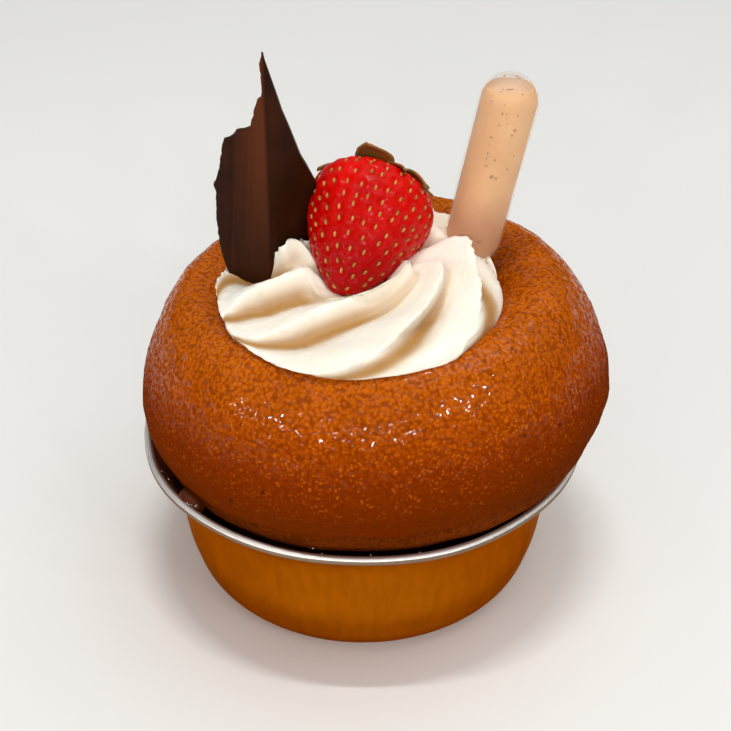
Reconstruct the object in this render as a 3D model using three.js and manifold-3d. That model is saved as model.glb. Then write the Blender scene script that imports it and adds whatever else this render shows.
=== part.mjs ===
// A rum baba in a foil cup: a ring-shaped cake with a filled well, piped cream, a strawberry,
// a chocolate shard and a squeeze pipette of rum. Millimetres, +Z up; the origin is the centre of
// the cup's flat base, and -Y is the front.
import * as THREE from "three";
import { mergeVertices } from "three/addons/utils/BufferGeometryUtils.js";
import Module from "manifold-3d";

const wasm = await Module();
wasm.setup();

// ---------------------------------------------------------------- driving dimensions
const GAP = 0.3; // clearance between pieces that touch

const CUP = { rimRadius: 48, height: 35.8, baseRadius: 30.2, foil: 0.5, bead: 0.9, segments: 50 };

const CAKE = {
  radius: 50.1, // widest, a little above the lower edge
  widestHeight: 8, // over the foot plane
  edgeRadius: 49.2, // lower edge of the dome
  edgeHeight: 4.2,
  crestRadius: 36.5, // of the ring's highest line
  crestHeight: 33.6,
  fullness: 1.63, // of the dome's side: 1 is a straight slope, 2 a quarter ellipse
  wellRadius: 16, // floor of the well that holds the cream
  wellHeight: 21.5,
  belly: 9.4, // how far the underside swells down into the cup
  centre: new THREE.Vector3(3.24, 1.68, 37.4), // of the foot plane; the cake sits a little askew
  lean: -0.065, // about Y, so the left side lies deeper in the cup
  segments: 52,
};

const CREAM = {
  centre: new THREE.Vector3(-1, -6.6, 0),
  foot: [[13, 61], [24, 64.5]], // radius and height of its hidden foot, inside the cake's well
  dish: { radius: 5, height: 73.2, turn: 14 }, // the hollow under the berry
  rows: 15,
};

// the crest of each ridge from the outer edge inwards: azimuth in degrees, radius, height
const CRESTS = [
  [
    [182, 28.2, 70.8], [168, 28.8, 71.6], [160, 27.4, 72.2], [158, 24.5, 73],
    [162, 20, 75], [166, 15.6, 80], [157, 12.4, 80],
  ],
  [
    [199, 28, 70.6], [196, 26.2, 71.8], [194, 23.8, 73.8], [195, 20.3, 75.8],
    [194, 15, 77.1], [190, 11, 77.7], [187, 9, 76.8],
  ],
  [
    [211, 28.8, 70.4], [222, 26.9, 71.6], [229, 22, 73], [236, 15.6, 74.2],
    [254, 10.8, 75.4], [288, 8.8, 76.6], [348, 10.5, 80],
  ],
  [
    [222, 28, 69.6], [237, 29.6, 70.2], [255, 30.8, 71.2], [272, 29.4, 74],
    [292, 24, 76.6], [320, 19.2, 78.4], [353, 15.6, 79.6],
  ],
  [
    [270, 29, 70.4], [286, 30.4, 70.8], [302, 31.9, 72], [314, 31.3, 74.8],
    [333, 26.8, 77.3], [356, 23.5, 78.9], [379, 21.8, 80.2],
  ],
  [
    [328, 27, 69.6], [341, 28, 70.4], [354, 28.6, 71.2], [371, 28.4, 72.2],
    [388, 26.5, 74.4], [406, 24, 77.4], [424, 20.5, 79.6],
  ],
  [
    [375, 28.5, 70.5], [384, 29.5, 72.4], [395, 29.8, 75.2], [408, 28, 78],
    [422, 25, 79.4], [437, 22, 79.8], [452, 18.5, 79],
  ],
  [
    [415, 28.5, 71], [423, 29, 74], [433, 28, 77], [444, 25.5, 79],
    [456, 22.5, 79.6], [468, 19.5, 79.4], [478, 16, 78.5],
  ],
  [
    [455, 28.5, 71.5], [463, 28.5, 74], [472, 26.5, 76.5], [482, 23.5, 78],
    [490, 20, 79], [494, 16.5, 79], [496, 13, 78],
  ],
  [
    [505, 28, 71.5], [506, 26.5, 74], [508, 23.5, 76], [509, 20, 77.4],
    [508, 16.5, 78.4], [506, 13.5, 79], [502, 10.5, 78.6],
  ],
];

// the columns between two crests: where they lie, and how high the cream stands there
const RIDGE = [
  [0, 1],
  [0.1, 0.42],
  [0.22, 0.02],
  [0.4, 0.15],
  [0.6, 0.47],
  [0.82, 0.82],
];

// how deep the valleys sink between the crests, from the foot to the dish
const SINKING = [
  [0, 0],
  [0.2, 0.5],
  [0.33, 1.6],
  [0.5, 4],
  [0.78, 5],
  [0.9, 3.6],
  [1, 0],
];

const BERRY = {
  radius: 12.6,
  length: 27.3,
  tip: new THREE.Vector3(-3.9, -11.9, 74.1),
  towardsStalk: new THREE.Vector3(0.277, 0.847, 0.452),
  segments: 32,
};

// the leaves of the star on the berry: direction in degrees, length, width, lift of the tip
const SEPALS = [
  [88, 11.5, 7, 3.4],
  [32, 12.4, 4.6, 0.6],
  [-4, 13.4, 4.2, 1.4],
  [158, 12.2, 5.2, 1],
  [183, 10.8, 3.6, 1.6],
  [-52, 8.2, 4.4, 0.8],
  [-118, 8, 5, 1],
];
const SEPAL_THICKNESS = 0.7;
const STALK = { collar: 2.4, radius: 1, height: 3.4 };

const SHARD = {
  foot: new THREE.Vector3(-19.2, -2.8, 62),
  thickness: 1.5,
  leftFold: 0.34, // how fast each half falls back from the fold line
  rightFold: 0.6,
  // height over the foot and how far the shard reaches from its fold there
  left: [
    [0, 5],
    [7, 6.8],
    [13, 9.3],
    [22, 10.5],
    [27.6, 10.2],
    [29.4, 10.9],
    [31.4, 9.8],
    [38.6, 8.3],
    [40.8, 6.2],
    [41.6, 4.6],
    [43.2, 2.4],
    [47, 1.3],
    [51, 0.6],
    [58.4, 0.3],
  ],
  right: [
    [0, 6],
    [9, 8.4],
    [17, 9.8],
    [26, 10.3],
    [30, 9.2],
    [35, 7.5],
    [40, 5.6],
    [50.5, 2.4],
    [56.5, 0.8],
    [58.4, 0.3],
  ],
};

const PIPETTE = {
  radius: 6,
  wall: 0.7,
  top: new THREE.Vector3(28.81, 8, 105.97), // centres of the two end domes
  bottom: new THREE.Vector3(22.96, 8, 76.22),
  stemRadius: 2.2,
  stemLength: 19, // past the lower dome's centre
  bore: 0.9,
  airGap: 2.2, // above the rum, under the top dome
  segments: 22,
};

const BEAD = { length: 7.2, width: 5, depth: 5, azimuth: -141, ringRadius: 44.7, height: 34.6 };

// ---------------------------------------------------------------- small helpers
const wave = (a, b, c) => Math.sin(a) * Math.cos(b) + 0.5 * Math.sin(2 * a + 2 * c);

const smoothStep = (low, high, x) => THREE.MathUtils.smoothstep(x, low, high);

/** Points along a smooth curve through the given [radius, height] pairs. */
function curvePoints(pairs, count) {
  const curve = new THREE.SplineCurve(pairs.map(([r, z]) => new THREE.Vector2(r, z)));
  return curve.getSpacedPoints(count);
}

/** Moves each point of a [radius, height] outline outwards by a distance. */
function growOutline(points, distance) {
  return points.map((p, i) => {
    const before = points[Math.max(i - 1, 0)];
    const after = points[Math.min(i + 1, points.length - 1)];
    const along = new THREE.Vector2().subVectors(after, before).normalize();
    const r = p.x < 1e-6 ? 0 : Math.max(p.x + along.y * distance, 0);
    return new THREE.Vector2(r, p.y - along.x * distance);
  });
}

/** Revolves an outline of Vector2(radius, height) about +Z. */
function revolve(points, segments) {
  return new THREE.LatheGeometry(points, segments).rotateX(Math.PI / 2);
}

/** Moves every vertex by move(x, y, z) -> [x, y, z]. */
function reshape(geometry, move) {
  const position = geometry.getAttribute("position");
  for (let i = 0; i < position.count; i++) {
    position.setXYZ(i, ...move(position.getX(i), position.getY(i), position.getZ(i)));
  }
  return geometry;
}

/** A closed geometry, placed by a matrix, as a solid that can be cut and joined. */
function solid(geometry, matrix = new THREE.Matrix4()) {
  const bare = new THREE.BufferGeometry();
  bare.setAttribute("position", geometry.getAttribute("position").clone());
  bare.setIndex(geometry.getIndex());
  const merged = mergeVertices(bare.applyMatrix4(matrix), 1e-3);
  const made = new wasm.Manifold(
    new wasm.Mesh({
      numProp: 3,
      vertProperties: new Float32Array(merged.getAttribute("position").array),
      triVerts: new Uint32Array(merged.getIndex().array),
    }),
  );
  return made;
}

/** The largest piece of a solid, so that a cut leaves no crumbs behind. */
function mainPiece(shape) {
  const pieces = shape.decompose();
  return pieces.reduce((best, piece) => (piece.volume() > best.volume() ? piece : best));
}

/** A solid in the part's frame as a mesh that hangs in a group with the given matrix. */
function meshOf(name, shape, material, matrix = new THREE.Matrix4()) {
  const data = shape.getMesh();
  const geometry = new THREE.BufferGeometry();
  geometry.setAttribute("position", new THREE.BufferAttribute(new Float32Array(data.vertProperties), 3));
  geometry.setIndex(new THREE.BufferAttribute(new Uint32Array(data.triVerts), 1));
  geometry.applyMatrix4(matrix.clone().invert());
  geometry.computeVertexNormals();
  const mesh = new THREE.Mesh(geometry, material);
  mesh.name = name;
  return mesh;
}

/** The matrix of a frame whose +Z points along a direction and whose +Y points as far up as it can. */
function frameAlong(origin, direction) {
  const z = direction.clone().normalize();
  const y = new THREE.Vector3(0, 0, 1).addScaledVector(z, -z.z).normalize();
  return new THREE.Matrix4().makeBasis(y.clone().cross(z), y, z).setPosition(origin);
}

/** The value at x on a broken line through the given [x, value] pairs. */
function lineValue(pairs, x) {
  const next = Math.max(pairs.findIndex(([at]) => at >= x), 1);
  const [[x0, v0], [x1, v1]] = [pairs[next - 1], pairs[next]];
  return THREE.MathUtils.lerp(v0, v1, THREE.MathUtils.clamp((x - x0) / (x1 - x0), 0, 1));
}

/** A closed sheet of even thickness over a grid: point(u, v) and normal(u, v), u and v from 0 to 1. */
function thickSheet(columns, rows, point, normal, thickness) {
  const positions = [];
  const indices = [];
  const across = columns + 1;
  const count = across * (rows + 1);
  for (const side of [0.5, -0.5]) {
    for (let j = 0; j <= rows; j++) {
      for (let i = 0; i <= columns; i++) {
        const [u, v] = [i / columns, j / rows];
        const p = point(u, v).addScaledVector(normal(u, v), side * thickness(u, v));
        positions.push(p.x, p.y, p.z);
      }
    }
  }
  const quad = (a, b, c, d) => indices.push(a, b, c, a, c, d);
  for (let j = 0; j < rows; j++) {
    for (let i = 0; i < columns; i++) {
      const a = j * across + i;
      quad(a, a + 1, a + 1 + across, a + across);
      quad(count + a, count + a + across, count + a + 1 + across, count + a + 1);
    }
  }
  const rim = [];
  for (let i = 0; i < columns; i++) rim.push(i);
  for (let j = 0; j < rows; j++) rim.push(j * across + columns);
  for (let i = columns; i > 0; i--) rim.push(rows * across + i);
  for (let j = rows; j > 0; j--) rim.push(j * across);
  rim.forEach((a, k) => {
    const b = rim[(k + 1) % rim.length];
    quad(a, count + a, count + b, b);
  });
  const geometry = new THREE.BufferGeometry();
  geometry.setAttribute("position", new THREE.Float32BufferAttribute(positions, 3));
  geometry.setIndex(indices);
  return geometry;
}

// ---------------------------------------------------------------- materials
const finish = (color, roughness, metalness = 0, extra = {}) =>
  new THREE.MeshStandardMaterial({ color, roughness, metalness, ...extra });

const MATERIALS = {
  foil: finish(0xb8783a, 0.35, 0.9),
  crumb: finish(0xa8541a, 0.3),
  cream: finish(0xfdf2dc, 0.55),
  berry: finish(0xc8190f, 0.25),
  leaf: finish(0x6b4a1e, 0.6),
  chocolate: finish(0x351a0e, 0.35),
  plastic: finish(0xe2c4a8, 0.3, 0, { transparent: true, opacity: 0.5 }),
  rum: finish(0xd9a273, 0.1, 0, { transparent: true, opacity: 0.8 }),
  syrup: finish(0x7a4526, 0.1, 0, { transparent: true, opacity: 0.8 }),
};

// ---------------------------------------------------------------- foil cup
/** The cup's outer outline from the base's centre to the underside of the rolled rim. */
function cupWall() {
  const { baseRadius: base, height } = CUP;
  const wall = curvePoints(
    [
      [base, 0],
      [base + 2.6, 0.6],
      [base + 5.2, 2.2],
      [base + 7.4, 5],
      [base + 8.6, 8.6],
      [base + 9.7, 13],
      [base + 10.8, 20.5],
      [base + 12.6, height - 7.6],
      [base + 15.2, height - 2],
    ],
    9,
  );
  return [new THREE.Vector2(0, 0), ...wall];
}

/** A thin cup whose foil turns out at the top into a rolled rim. */
function foilCup() {
  const { rimRadius, height, foil, bead, segments } = CUP;
  const outside = cupWall();
  const inside = growOutline(outside.slice(1), -foil).reverse();
  const roll = [-0.4, 0.05, 0.5, 0.95].map((turn) => {
    const angle = turn * Math.PI;
    return new THREE.Vector2(
      rimRadius - bead + bead * Math.cos(angle),
      height - bead + bead * Math.sin(angle),
    );
  });
  const floor = new THREE.Vector2(0, foil);
  return solid(revolve([...outside, ...roll, ...inside, floor], segments));
}

/** The room that the rim and wall take, with the clearance, to be cut out of the cake. */
function rimClearance() {
  const { rimRadius, height, bead, segments } = CUP;
  const inner = growOutline(cupWall().slice(3), -CUP.foil - GAP);
  const top = height + GAP;
  const shoulder = rimRadius - 2 * bead - 1.2 * GAP;
  const outer = rimRadius + 2;
  const points = [
    inner[0],
    new THREE.Vector2(outer, inner[0].y),
    new THREE.Vector2(outer, top - bead),
    new THREE.Vector2(rimRadius - bead * 0.4, top),
    new THREE.Vector2(shoulder + bead * 0.4, top),
    new THREE.Vector2(shoulder, top - bead),
    ...inner.slice(1).reverse(),
    inner[0],
  ];
  return solid(revolve(points, segments));
}

// ---------------------------------------------------------------- cake
const cakeMatrix = new THREE.Matrix4().compose(
  CAKE.centre,
  new THREE.Quaternion().setFromEuler(new THREE.Euler(0, CAKE.lean, 0)),
  new THREE.Vector3(1, 1, 1),
);

/** The ring cake in its own frame: belly, foot, dome, crest and well, from axis to axis. */
function cakeOutline() {
  const { radius, widestHeight, edgeRadius, edgeHeight, crestRadius, crestHeight } = CAKE;
  const { fullness, wellRadius, wellHeight, belly } = CAKE;
  const under = curvePoints(
    [
      [0, -belly],
      [36, -belly + 2.6],
      [44.8, -3.4],
      [47.5, -0.4],
      [47.9, edgeHeight - 1.7],
    ],
    6,
  );
  const side = [];
  for (let i = 0; i <= 9; i++) {
    const angle = (Math.PI / 2) * (i / 9);
    const out = Math.cos(angle) ** (2 / fullness);
    const over = Math.sin(angle) ** (2 / fullness);
    const r = crestRadius + (radius - crestRadius) * out;
    side.push(new THREE.Vector2(r, widestHeight + (crestHeight - widestHeight) * over));
  }
  const well = curvePoints(
    [
      [crestRadius - 3, crestHeight - 0.4],
      [crestRadius - 8, crestHeight - 2.6],
      [wellRadius + 6, wellHeight + 5],
      [wellRadius, wellHeight + 0.8],
      [0, wellHeight],
    ],
    6,
  );
  return [...under, new THREE.Vector2(edgeRadius, edgeHeight), ...side, ...well];
}

/** Slow swells in the crust and a ragged lower edge. */
function cakeUnevenness(x, y, z) {
  const turn = Math.atan2(y, x);
  const swell = 0.28 * wave(2 * turn + 0.6, z / 9, turn) + 0.16 * wave(5 * turn, z / 7 + 1, 3 * turn);
  const nearEdge = 1 - smoothStep(1, 5, Math.abs(z - 2));
  const ragged = 0.42 * nearEdge * (Math.sin(11 * turn + 1) + 0.6 * Math.sin(17 * turn));
  const radius = Math.hypot(x, y);
  const share = radius > 30 ? (radius + swell + 0.35 * ragged) / radius : 1;
  return [x * share, y * share, z + 0.6 * ragged + (radius > 1 ? 0.5 * swell : 0)];
}

/** The cake alone, grown by a clearance where other pieces are cut to it. */
function cakeBody(grow = 0) {
  const outline = growOutline(cakeOutline(), grow);
  return solid(reshape(revolve(outline, CAKE.segments), cakeUnevenness), cakeMatrix);
}

// ---------------------------------------------------------------- cream
/** The course of one crest, from the hidden foot to the dish, as (azimuth, radius, height). */
function crestCurve(index) {
  const { foot, dish } = CREAM;
  const crest = CRESTS[index % CRESTS.length];
  const lap = index < CRESTS.length ? 0 : 360;
  const end = [crest[crest.length - 1][0] + dish.turn, dish.radius, dish.height];
  const course = [...foot.map(([radius, height]) => [crest[0][0], radius, height]), ...crest, end];
  return new THREE.CatmullRomCurve3(
    course.map(([turn, radius, height]) => new THREE.Vector3(turn + lap, radius, height)),
    false,
    "catmullrom",
  );
}

/** A piped rosette: sharp ridges that leave the outer edge and wind up round the berry. */
function creamSwirl() {
  const { foot, dish, rows, centre } = CREAM;
  const columns = CRESTS.length * RIDGE.length;
  const curves = Array.from({ length: CRESTS.length + 1 }, (_, index) => crestCurve(index));
  const drum = [new THREE.Vector2(0, -0.1)];
  for (let i = 0; i <= rows; i++) drum.push(new THREE.Vector2(1, i / rows));
  drum.push(new THREE.Vector2(0, 1.1));
  const geometry = reshape(revolve(drum, columns), (x, y, t) => {
    if (t < 0) return [0, 0, foot[0][1]];
    if (t > 1 + 1e-6) return [0, 0, dish.height - 0.6];
    const column = Math.round((Math.atan2(y, x) / (2 * Math.PI) + 1) * columns) % columns;
    const ridge = Math.floor(column / RIDGE.length);
    const [share, stands] = RIDGE[column % RIDGE.length];
    const here = curves[ridge].getPoint(t).lerp(curves[ridge + 1].getPoint(t), share);
    const sink = lineValue(SINKING, t) * (1 - stands) * (1 - 0.75 * smoothStep(22, 30, here.y));
    const turn = THREE.MathUtils.degToRad(here.x);
    const reach = here.y - 0.7 * sink * smoothStep(12, 28, here.y);
    return [reach * Math.cos(turn), reach * Math.sin(turn), here.z - 0.9 * sink];
  });
  return solid(geometry, new THREE.Matrix4().makeTranslation(centre));
}

// ---------------------------------------------------------------- strawberry
const berryMatrix = frameAlong(BERRY.tip, BERRY.towardsStalk);

/** A plump, pointed berry along +Z from its tip, with a flat shoulder under the stalk. */
function berryBody(grow = 0) {
  const { radius, length, segments } = BERRY;
  const outline = curvePoints(
    [
      [0, 0],
      [0.2 * radius, 0.025 * length],
      [0.56 * radius, 0.22 * length],
      [0.78 * radius, 0.42 * length],
      [0.94 * radius, 0.6 * length],
      [radius, 0.75 * length],
      [0.96 * radius, 0.87 * length],
      [0.8 * radius, 0.96 * length],
      [0.5 * radius, length],
      [0, 0.98 * length],
    ],
    17,
  );
  outline[0].x = 0;
  outline[outline.length - 1].x = 0;
  const geometry = reshape(revolve(growOutline(outline, grow), segments), (x, y, z) => {
    const turn = Math.atan2(y, x);
    const bulge = 1 + 0.025 * Math.sin(2 * turn + 0.8) + 0.015 * Math.sin(3 * turn + z / 6);
    return [x * bulge, y * bulge, z];
  });
  return solid(geometry, berryMatrix);
}

/** One sepal: a pointed, wavy leaf with a folded rib that follows the berry's shoulder. */
function sepal([direction, length, width, lift], index) {
  const turn = THREE.MathUtils.degToRad(direction);
  const axis = new THREE.Vector3(0, 0, 1);
  const point = (u, v) => {
    const out = 0.8 + length * v;
    const half = 0.5 * width * Math.sin(Math.PI * Math.min(0.16 + 0.82 * v, 0.98)) ** 0.75;
    const shoulder = 0.7 - 0.1 * Math.max(out - 6, 0) ** 2;
    const wavy = lift * v ** 2 * (0.6 + 0.9 * v) + 0.3 * Math.sin(5 * v + index);
    const rib = 0.5 * Math.abs(2 * u - 1) * (1 - v);
    return new THREE.Vector3(out, (1 - 2 * u) * half, shoulder + wavy + rib).applyAxisAngle(axis, turn);
  };
  return thickSheet(2, 5, point, () => axis, (u, v) => SEPAL_THICKNESS * (1 - 0.35 * v));
}

/** The star on the berry: leaves joined at a low collar with a stub of stalk. */
function calyx() {
  const { collar, radius, height } = STALK;
  const place = berryMatrix.clone().multiply(new THREE.Matrix4().makeTranslation(0, 0, BERRY.length));
  const stub = revolve(
    [
      new THREE.Vector2(0, 0.3),
      new THREE.Vector2(collar, 0.4),
      new THREE.Vector2(collar - 0.2, 1.3),
      new THREE.Vector2(radius, 2),
      new THREE.Vector2(0.85 * radius, height),
      new THREE.Vector2(0, height + 0.2),
    ],
    10,
  );
  const leaves = SEPALS.map((sizes, index) => solid(sepal(sizes, index), place));
  return leaves.reduce((star, leaf) => star.add(leaf), solid(stub, place));
}

// ---------------------------------------------------------------- chocolate shard
/** A broken shard of tempered chocolate, folded along its height, thinnest at the torn edges. */
function chocolateShard(grow = 0) {
  const { foot, thickness, leftFold, rightFold, left, right } = SHARD;
  const height = left[left.length - 1][0];
  const point = (u, v) => {
    const across = 2 * u - 1;
    const reach = lineValue(across > 0 ? right : left, height * v) + grow;
    const x = across * reach;
    const back = (across > 0 ? rightFold : leftFold) * Math.abs(x) * (1 + 0.025 * Math.abs(x));
    const sway = 0.7 * v;
    return new THREE.Vector3(foot.x + x + sway, foot.y + back, foot.z - grow + (height + 2 * grow) * v);
  };
  const normal = (u) => {
    const slopes = [leftFold, (leftFold - rightFold) / 2, -rightFold];
    return new THREE.Vector3(-slopes[Math.sign(2 * u - 1) + 1], -1, 0).normalize();
  };
  const even = (u, v) => {
    const edge = Math.min(1, 5 * Math.min(u, 1 - u) + 0.35);
    return thickness * edge * (1 - 0.45 * v) + 2 * grow;
  };
  return solid(thickSheet(8, 20, point, normal, even));
}

// ---------------------------------------------------------------- pipette
const pipetteAxis = new THREE.Vector3().subVectors(PIPETTE.top, PIPETTE.bottom);
const pipetteLength = pipetteAxis.length();
const pipetteMatrix = frameAlong(PIPETTE.bottom, pipetteAxis);

/** A half outline of a dome-ended tube, from the lower neck radius to the top on the axis. */
function bulbOutline(radius, neck) {
  const start = Math.acos(Math.min(neck / radius, 1));
  const points = [];
  for (let i = 0; i <= 4; i++) {
    const angle = -start + (start * i) / 4;
    points.push(new THREE.Vector2(radius * Math.cos(angle), radius * Math.sin(angle)));
  }
  for (let i = 0; i <= 5; i++) {
    const angle = (Math.PI / 2) * (i / 5);
    points.push(new THREE.Vector2(radius * Math.cos(angle), pipetteLength + radius * Math.sin(angle)));
  }
  points[points.length - 1].x = 0;
  return points;
}

/** The squeeze bulb and its stem, hollow and open at the stem's tip. */
function pipetteShell() {
  const { radius, wall, stemRadius, stemLength, bore, segments } = PIPETTE;
  const outside = [
    new THREE.Vector2(stemRadius * 0.75, -stemLength),
    new THREE.Vector2(stemRadius, -stemLength + 6),
    ...bulbOutline(radius, stemRadius),
  ];
  const inside = [
    ...bulbOutline(radius - wall, bore).reverse(),
    new THREE.Vector2(bore, -stemLength),
    new THREE.Vector2(stemRadius * 0.75, -stemLength),
  ];
  return solid(revolve([...outside, ...inside], segments), pipetteMatrix);
}

/** The room the pipette needs in the cake and the cream. */
function pipetteClearance() {
  const { radius, stemRadius, stemLength, segments } = PIPETTE;
  const points = [
    new THREE.Vector2(0, -stemLength - GAP),
    new THREE.Vector2(stemRadius + GAP, -stemLength - GAP),
    ...bulbOutline(radius + GAP, stemRadius + GAP),
  ];
  return solid(revolve(points, segments), pipetteMatrix);
}

/** The rum that fills the bulb up to its level surface. */
function rumFill() {
  const { radius, wall, airGap, segments } = PIPETTE;
  const r = radius - wall - GAP;
  const points = [new THREE.Vector2(0, -r), ...bulbOutline(r, 0.4)];
  const full = solid(revolve(points, segments - 4), pipetteMatrix);
  const level = PIPETTE.top.z + radius - wall - airGap;
  return full.trimByPlane([0, 0, -1], -level);
}

// ---------------------------------------------------------------- syrup bead
/** A thick drop of syrup that hangs between the cake and the foil. */
function syrupBead() {
  const { length, width, depth, azimuth, ringRadius, height } = BEAD;
  const turn = THREE.MathUtils.degToRad(azimuth);
  const drop = new THREE.SphereGeometry(0.5, 16, 9).scale(length, width, depth);
  const place = new THREE.Matrix4()
    .makeTranslation(ringRadius * Math.cos(turn), ringRadius * Math.sin(turn), height)
    .multiply(new THREE.Matrix4().makeRotationZ(turn + Math.PI / 2));
  return solid(drop, place);
}

// ---------------------------------------------------------------- assembly
const cakeRoom = cakeBody(GAP);
const berryRoom = berryBody(GAP);
const stick = pipetteClearance();
const cake = mainPiece(cakeBody().subtract(rimClearance()).subtract(stick));
const toppings = berryRoom.add(chocolateShard(GAP)).add(stick);
const cream = mainPiece(creamSwirl().subtract(cakeRoom).subtract(toppings));
const shard = mainPiece(chocolateShard().subtract(berryRoom).subtract(cakeRoom));
const star = mainPiece(calyx().subtract(berryRoom));
const bead = mainPiece(syrupBead().subtract(cakeRoom).subtract(rimClearance()));

const cakeGroup = new THREE.Group();
cakeMatrix.decompose(cakeGroup.position, cakeGroup.quaternion, cakeGroup.scale);
cakeGroup.add(
  meshOf("baba", cake, MATERIALS.crumb, cakeMatrix),
  meshOf("cream", cream, MATERIALS.cream, cakeMatrix),
);

const berryGroup = new THREE.Group();
berryMatrix.decompose(berryGroup.position, berryGroup.quaternion, berryGroup.scale);
berryGroup.add(
  meshOf("strawberry", berryBody(), MATERIALS.berry, berryMatrix),
  meshOf("calyx", star, MATERIALS.leaf, berryMatrix),
);

const pipetteGroup = new THREE.Group();
pipetteMatrix.decompose(pipetteGroup.position, pipetteGroup.quaternion, pipetteGroup.scale);
pipetteGroup.add(
  meshOf("pipette", pipetteShell(), MATERIALS.plastic, pipetteMatrix),
  meshOf("rum", rumFill(), MATERIALS.rum, pipetteMatrix),
);

const baba = new THREE.Group();
baba.add(meshOf("foil_cup", foilCup(), MATERIALS.foil));
baba.add(cakeGroup, berryGroup, pipetteGroup);
baba.add(meshOf("chocolate_shard", shard, MATERIALS.chocolate));
baba.add(meshOf("syrup_bead", bead, MATERIALS.syrup));

export default baba;
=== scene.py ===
"""A rum baba in a foil cup, dressed for the photograph's view.

The soaked cake, its piped cream, the strawberry, the chocolate shard, the pipette of rum and the
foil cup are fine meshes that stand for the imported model's solids. Lengths are metres, +Z is up and
-Y is the front.
"""

import logging
import math
import random
from dataclasses import dataclass
from enum import Enum
from typing import Callable, Sequence

import bmesh
import bpy
from mathutils import Matrix, Vector, noise
from mathutils.kdtree import KDTree

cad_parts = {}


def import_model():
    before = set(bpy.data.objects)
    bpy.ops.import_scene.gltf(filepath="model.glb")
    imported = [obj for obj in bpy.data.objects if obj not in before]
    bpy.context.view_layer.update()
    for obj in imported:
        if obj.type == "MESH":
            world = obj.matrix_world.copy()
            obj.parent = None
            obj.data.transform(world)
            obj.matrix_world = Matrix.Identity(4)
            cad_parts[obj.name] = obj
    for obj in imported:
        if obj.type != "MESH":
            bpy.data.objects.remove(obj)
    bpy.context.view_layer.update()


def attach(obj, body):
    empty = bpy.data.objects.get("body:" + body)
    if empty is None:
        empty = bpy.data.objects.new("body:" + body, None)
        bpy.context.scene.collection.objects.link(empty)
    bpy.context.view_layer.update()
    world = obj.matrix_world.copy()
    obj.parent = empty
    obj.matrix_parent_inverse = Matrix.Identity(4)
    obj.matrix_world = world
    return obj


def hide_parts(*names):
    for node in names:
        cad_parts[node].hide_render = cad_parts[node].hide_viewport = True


MM = 0.001
# the mesh attribute that carries the cream's painted shade between its ridges
PAINTED_SHADE_ATTRIBUTE = "fold"
CURVE_STEPS = 24
LOG = logging.getLogger("rum_baba")

Span = tuple[float, float]
Triple = tuple[float, float, float]
Outline = Sequence[Span]
Track = tuple[Triple, ...]
LeafSizes = tuple[float, float, float, float]
Colour = Triple
Move = Callable[[Vector], Vector]
Mesh = bmesh.types.BMesh
Socket = bpy.types.NodeSocket
Inputs = dict[str, object]


class Slot(Enum):
    """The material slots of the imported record."""

    FOIL = "foil"
    CRUMB = "crumb"
    CREAM = "cream"
    BERRY = "berry"
    LEAF = "leaf"
    CHOCOLATE = "chocolate"
    PLASTIC = "clear_plastic"
    RUM = "rum"
    SYRUP = "syrup"


# ---------------------------------------------------------------- numbers and curves
def srgb(red: int, green: int, blue: int) -> Colour:
    """Turns a screen colour into the linear colour that shaders use.

    Args:
        red: Red from 0 to 255.
        green: Green from 0 to 255.
        blue: Blue from 0 to 255.

    Returns:
        The linear colour.
    """

    def linear(value: int) -> float:
        """One channel."""
        share = value / 255
        return share / 12.92 if share <= 0.04045 else ((share + 0.055) / 1.055) ** 2.4

    return linear(red), linear(green), linear(blue)


def smoothstep(low: float, high: float, x: float) -> float:
    """Rises smoothly from 0 at low to 1 at high."""
    share = min(max((x - low) / (high - low), 0.0), 1.0)
    return share * share * (3 - 2 * share)


def line_value(pairs: Outline, x: float) -> float:
    """Reads a broken line.

    Args:
        pairs: The line's corners as (x, value), with x rising.
        x: Where to read it.

    Returns:
        The value there, held beyond the two ends.
    """
    for (x0, v0), (x1, v1) in zip(pairs, pairs[1:]):
        if x <= x1:
            return v0 + (v1 - v0) * min(max((x - x0) / (x1 - x0), 0.0), 1.0)
    return pairs[-1][1]


def curve_at(points: Sequence[Vector], share: float) -> Vector:
    """Gives a place on a smooth curve.

    Args:
        points: The points that the curve passes through.
        share: How far along it the place is, from 0 to 1, each stretch counting the same.

    Returns:
        The place.
    """
    stretch = min(int(share * (len(points) - 1)), len(points) - 2)
    t = share * (len(points) - 1) - stretch
    start, end = points[stretch], points[stretch + 1]
    before, after = points[max(stretch - 1, 0)], points[min(stretch + 2, len(points) - 1)]
    bend = (2 * before - 5 * start + 4 * end - after) * t * t
    return (2 * start + (end - before) * t + bend + (3 * start - before - 3 * end + after) * t**3) / 2


def curve_through(points: Outline, count: int) -> Outline:
    """Spaces points evenly along a smooth curve.

    Args:
        points: The points that the curve passes through.
        count: The number of stretches to divide it into.

    Returns:
        count + 1 points, the first and last being the curve's ends.
    """
    corners = [Vector(point) for point in points]
    fine = CURVE_STEPS * (len(points) - 1)
    dense = [curve_at(corners, i / fine) for i in range(fine + 1)]
    lengths = [0.0]
    for a, b in zip(dense, dense[1:]):
        lengths.append(lengths[-1] + (b - a).length)
    spaced, place = [], 0
    for i in range(count + 1):
        wanted = lengths[-1] * i / count
        while place < fine - 1 and lengths[place + 1] < wanted:
            place += 1
        share = (wanted - lengths[place]) / max(lengths[place + 1] - lengths[place], 1e-12)
        point = dense[place].lerp(dense[place + 1], min(max(share, 0.0), 1.0))
        spaced.append((max(point.x, 0.0), point.y))
    return spaced


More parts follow.
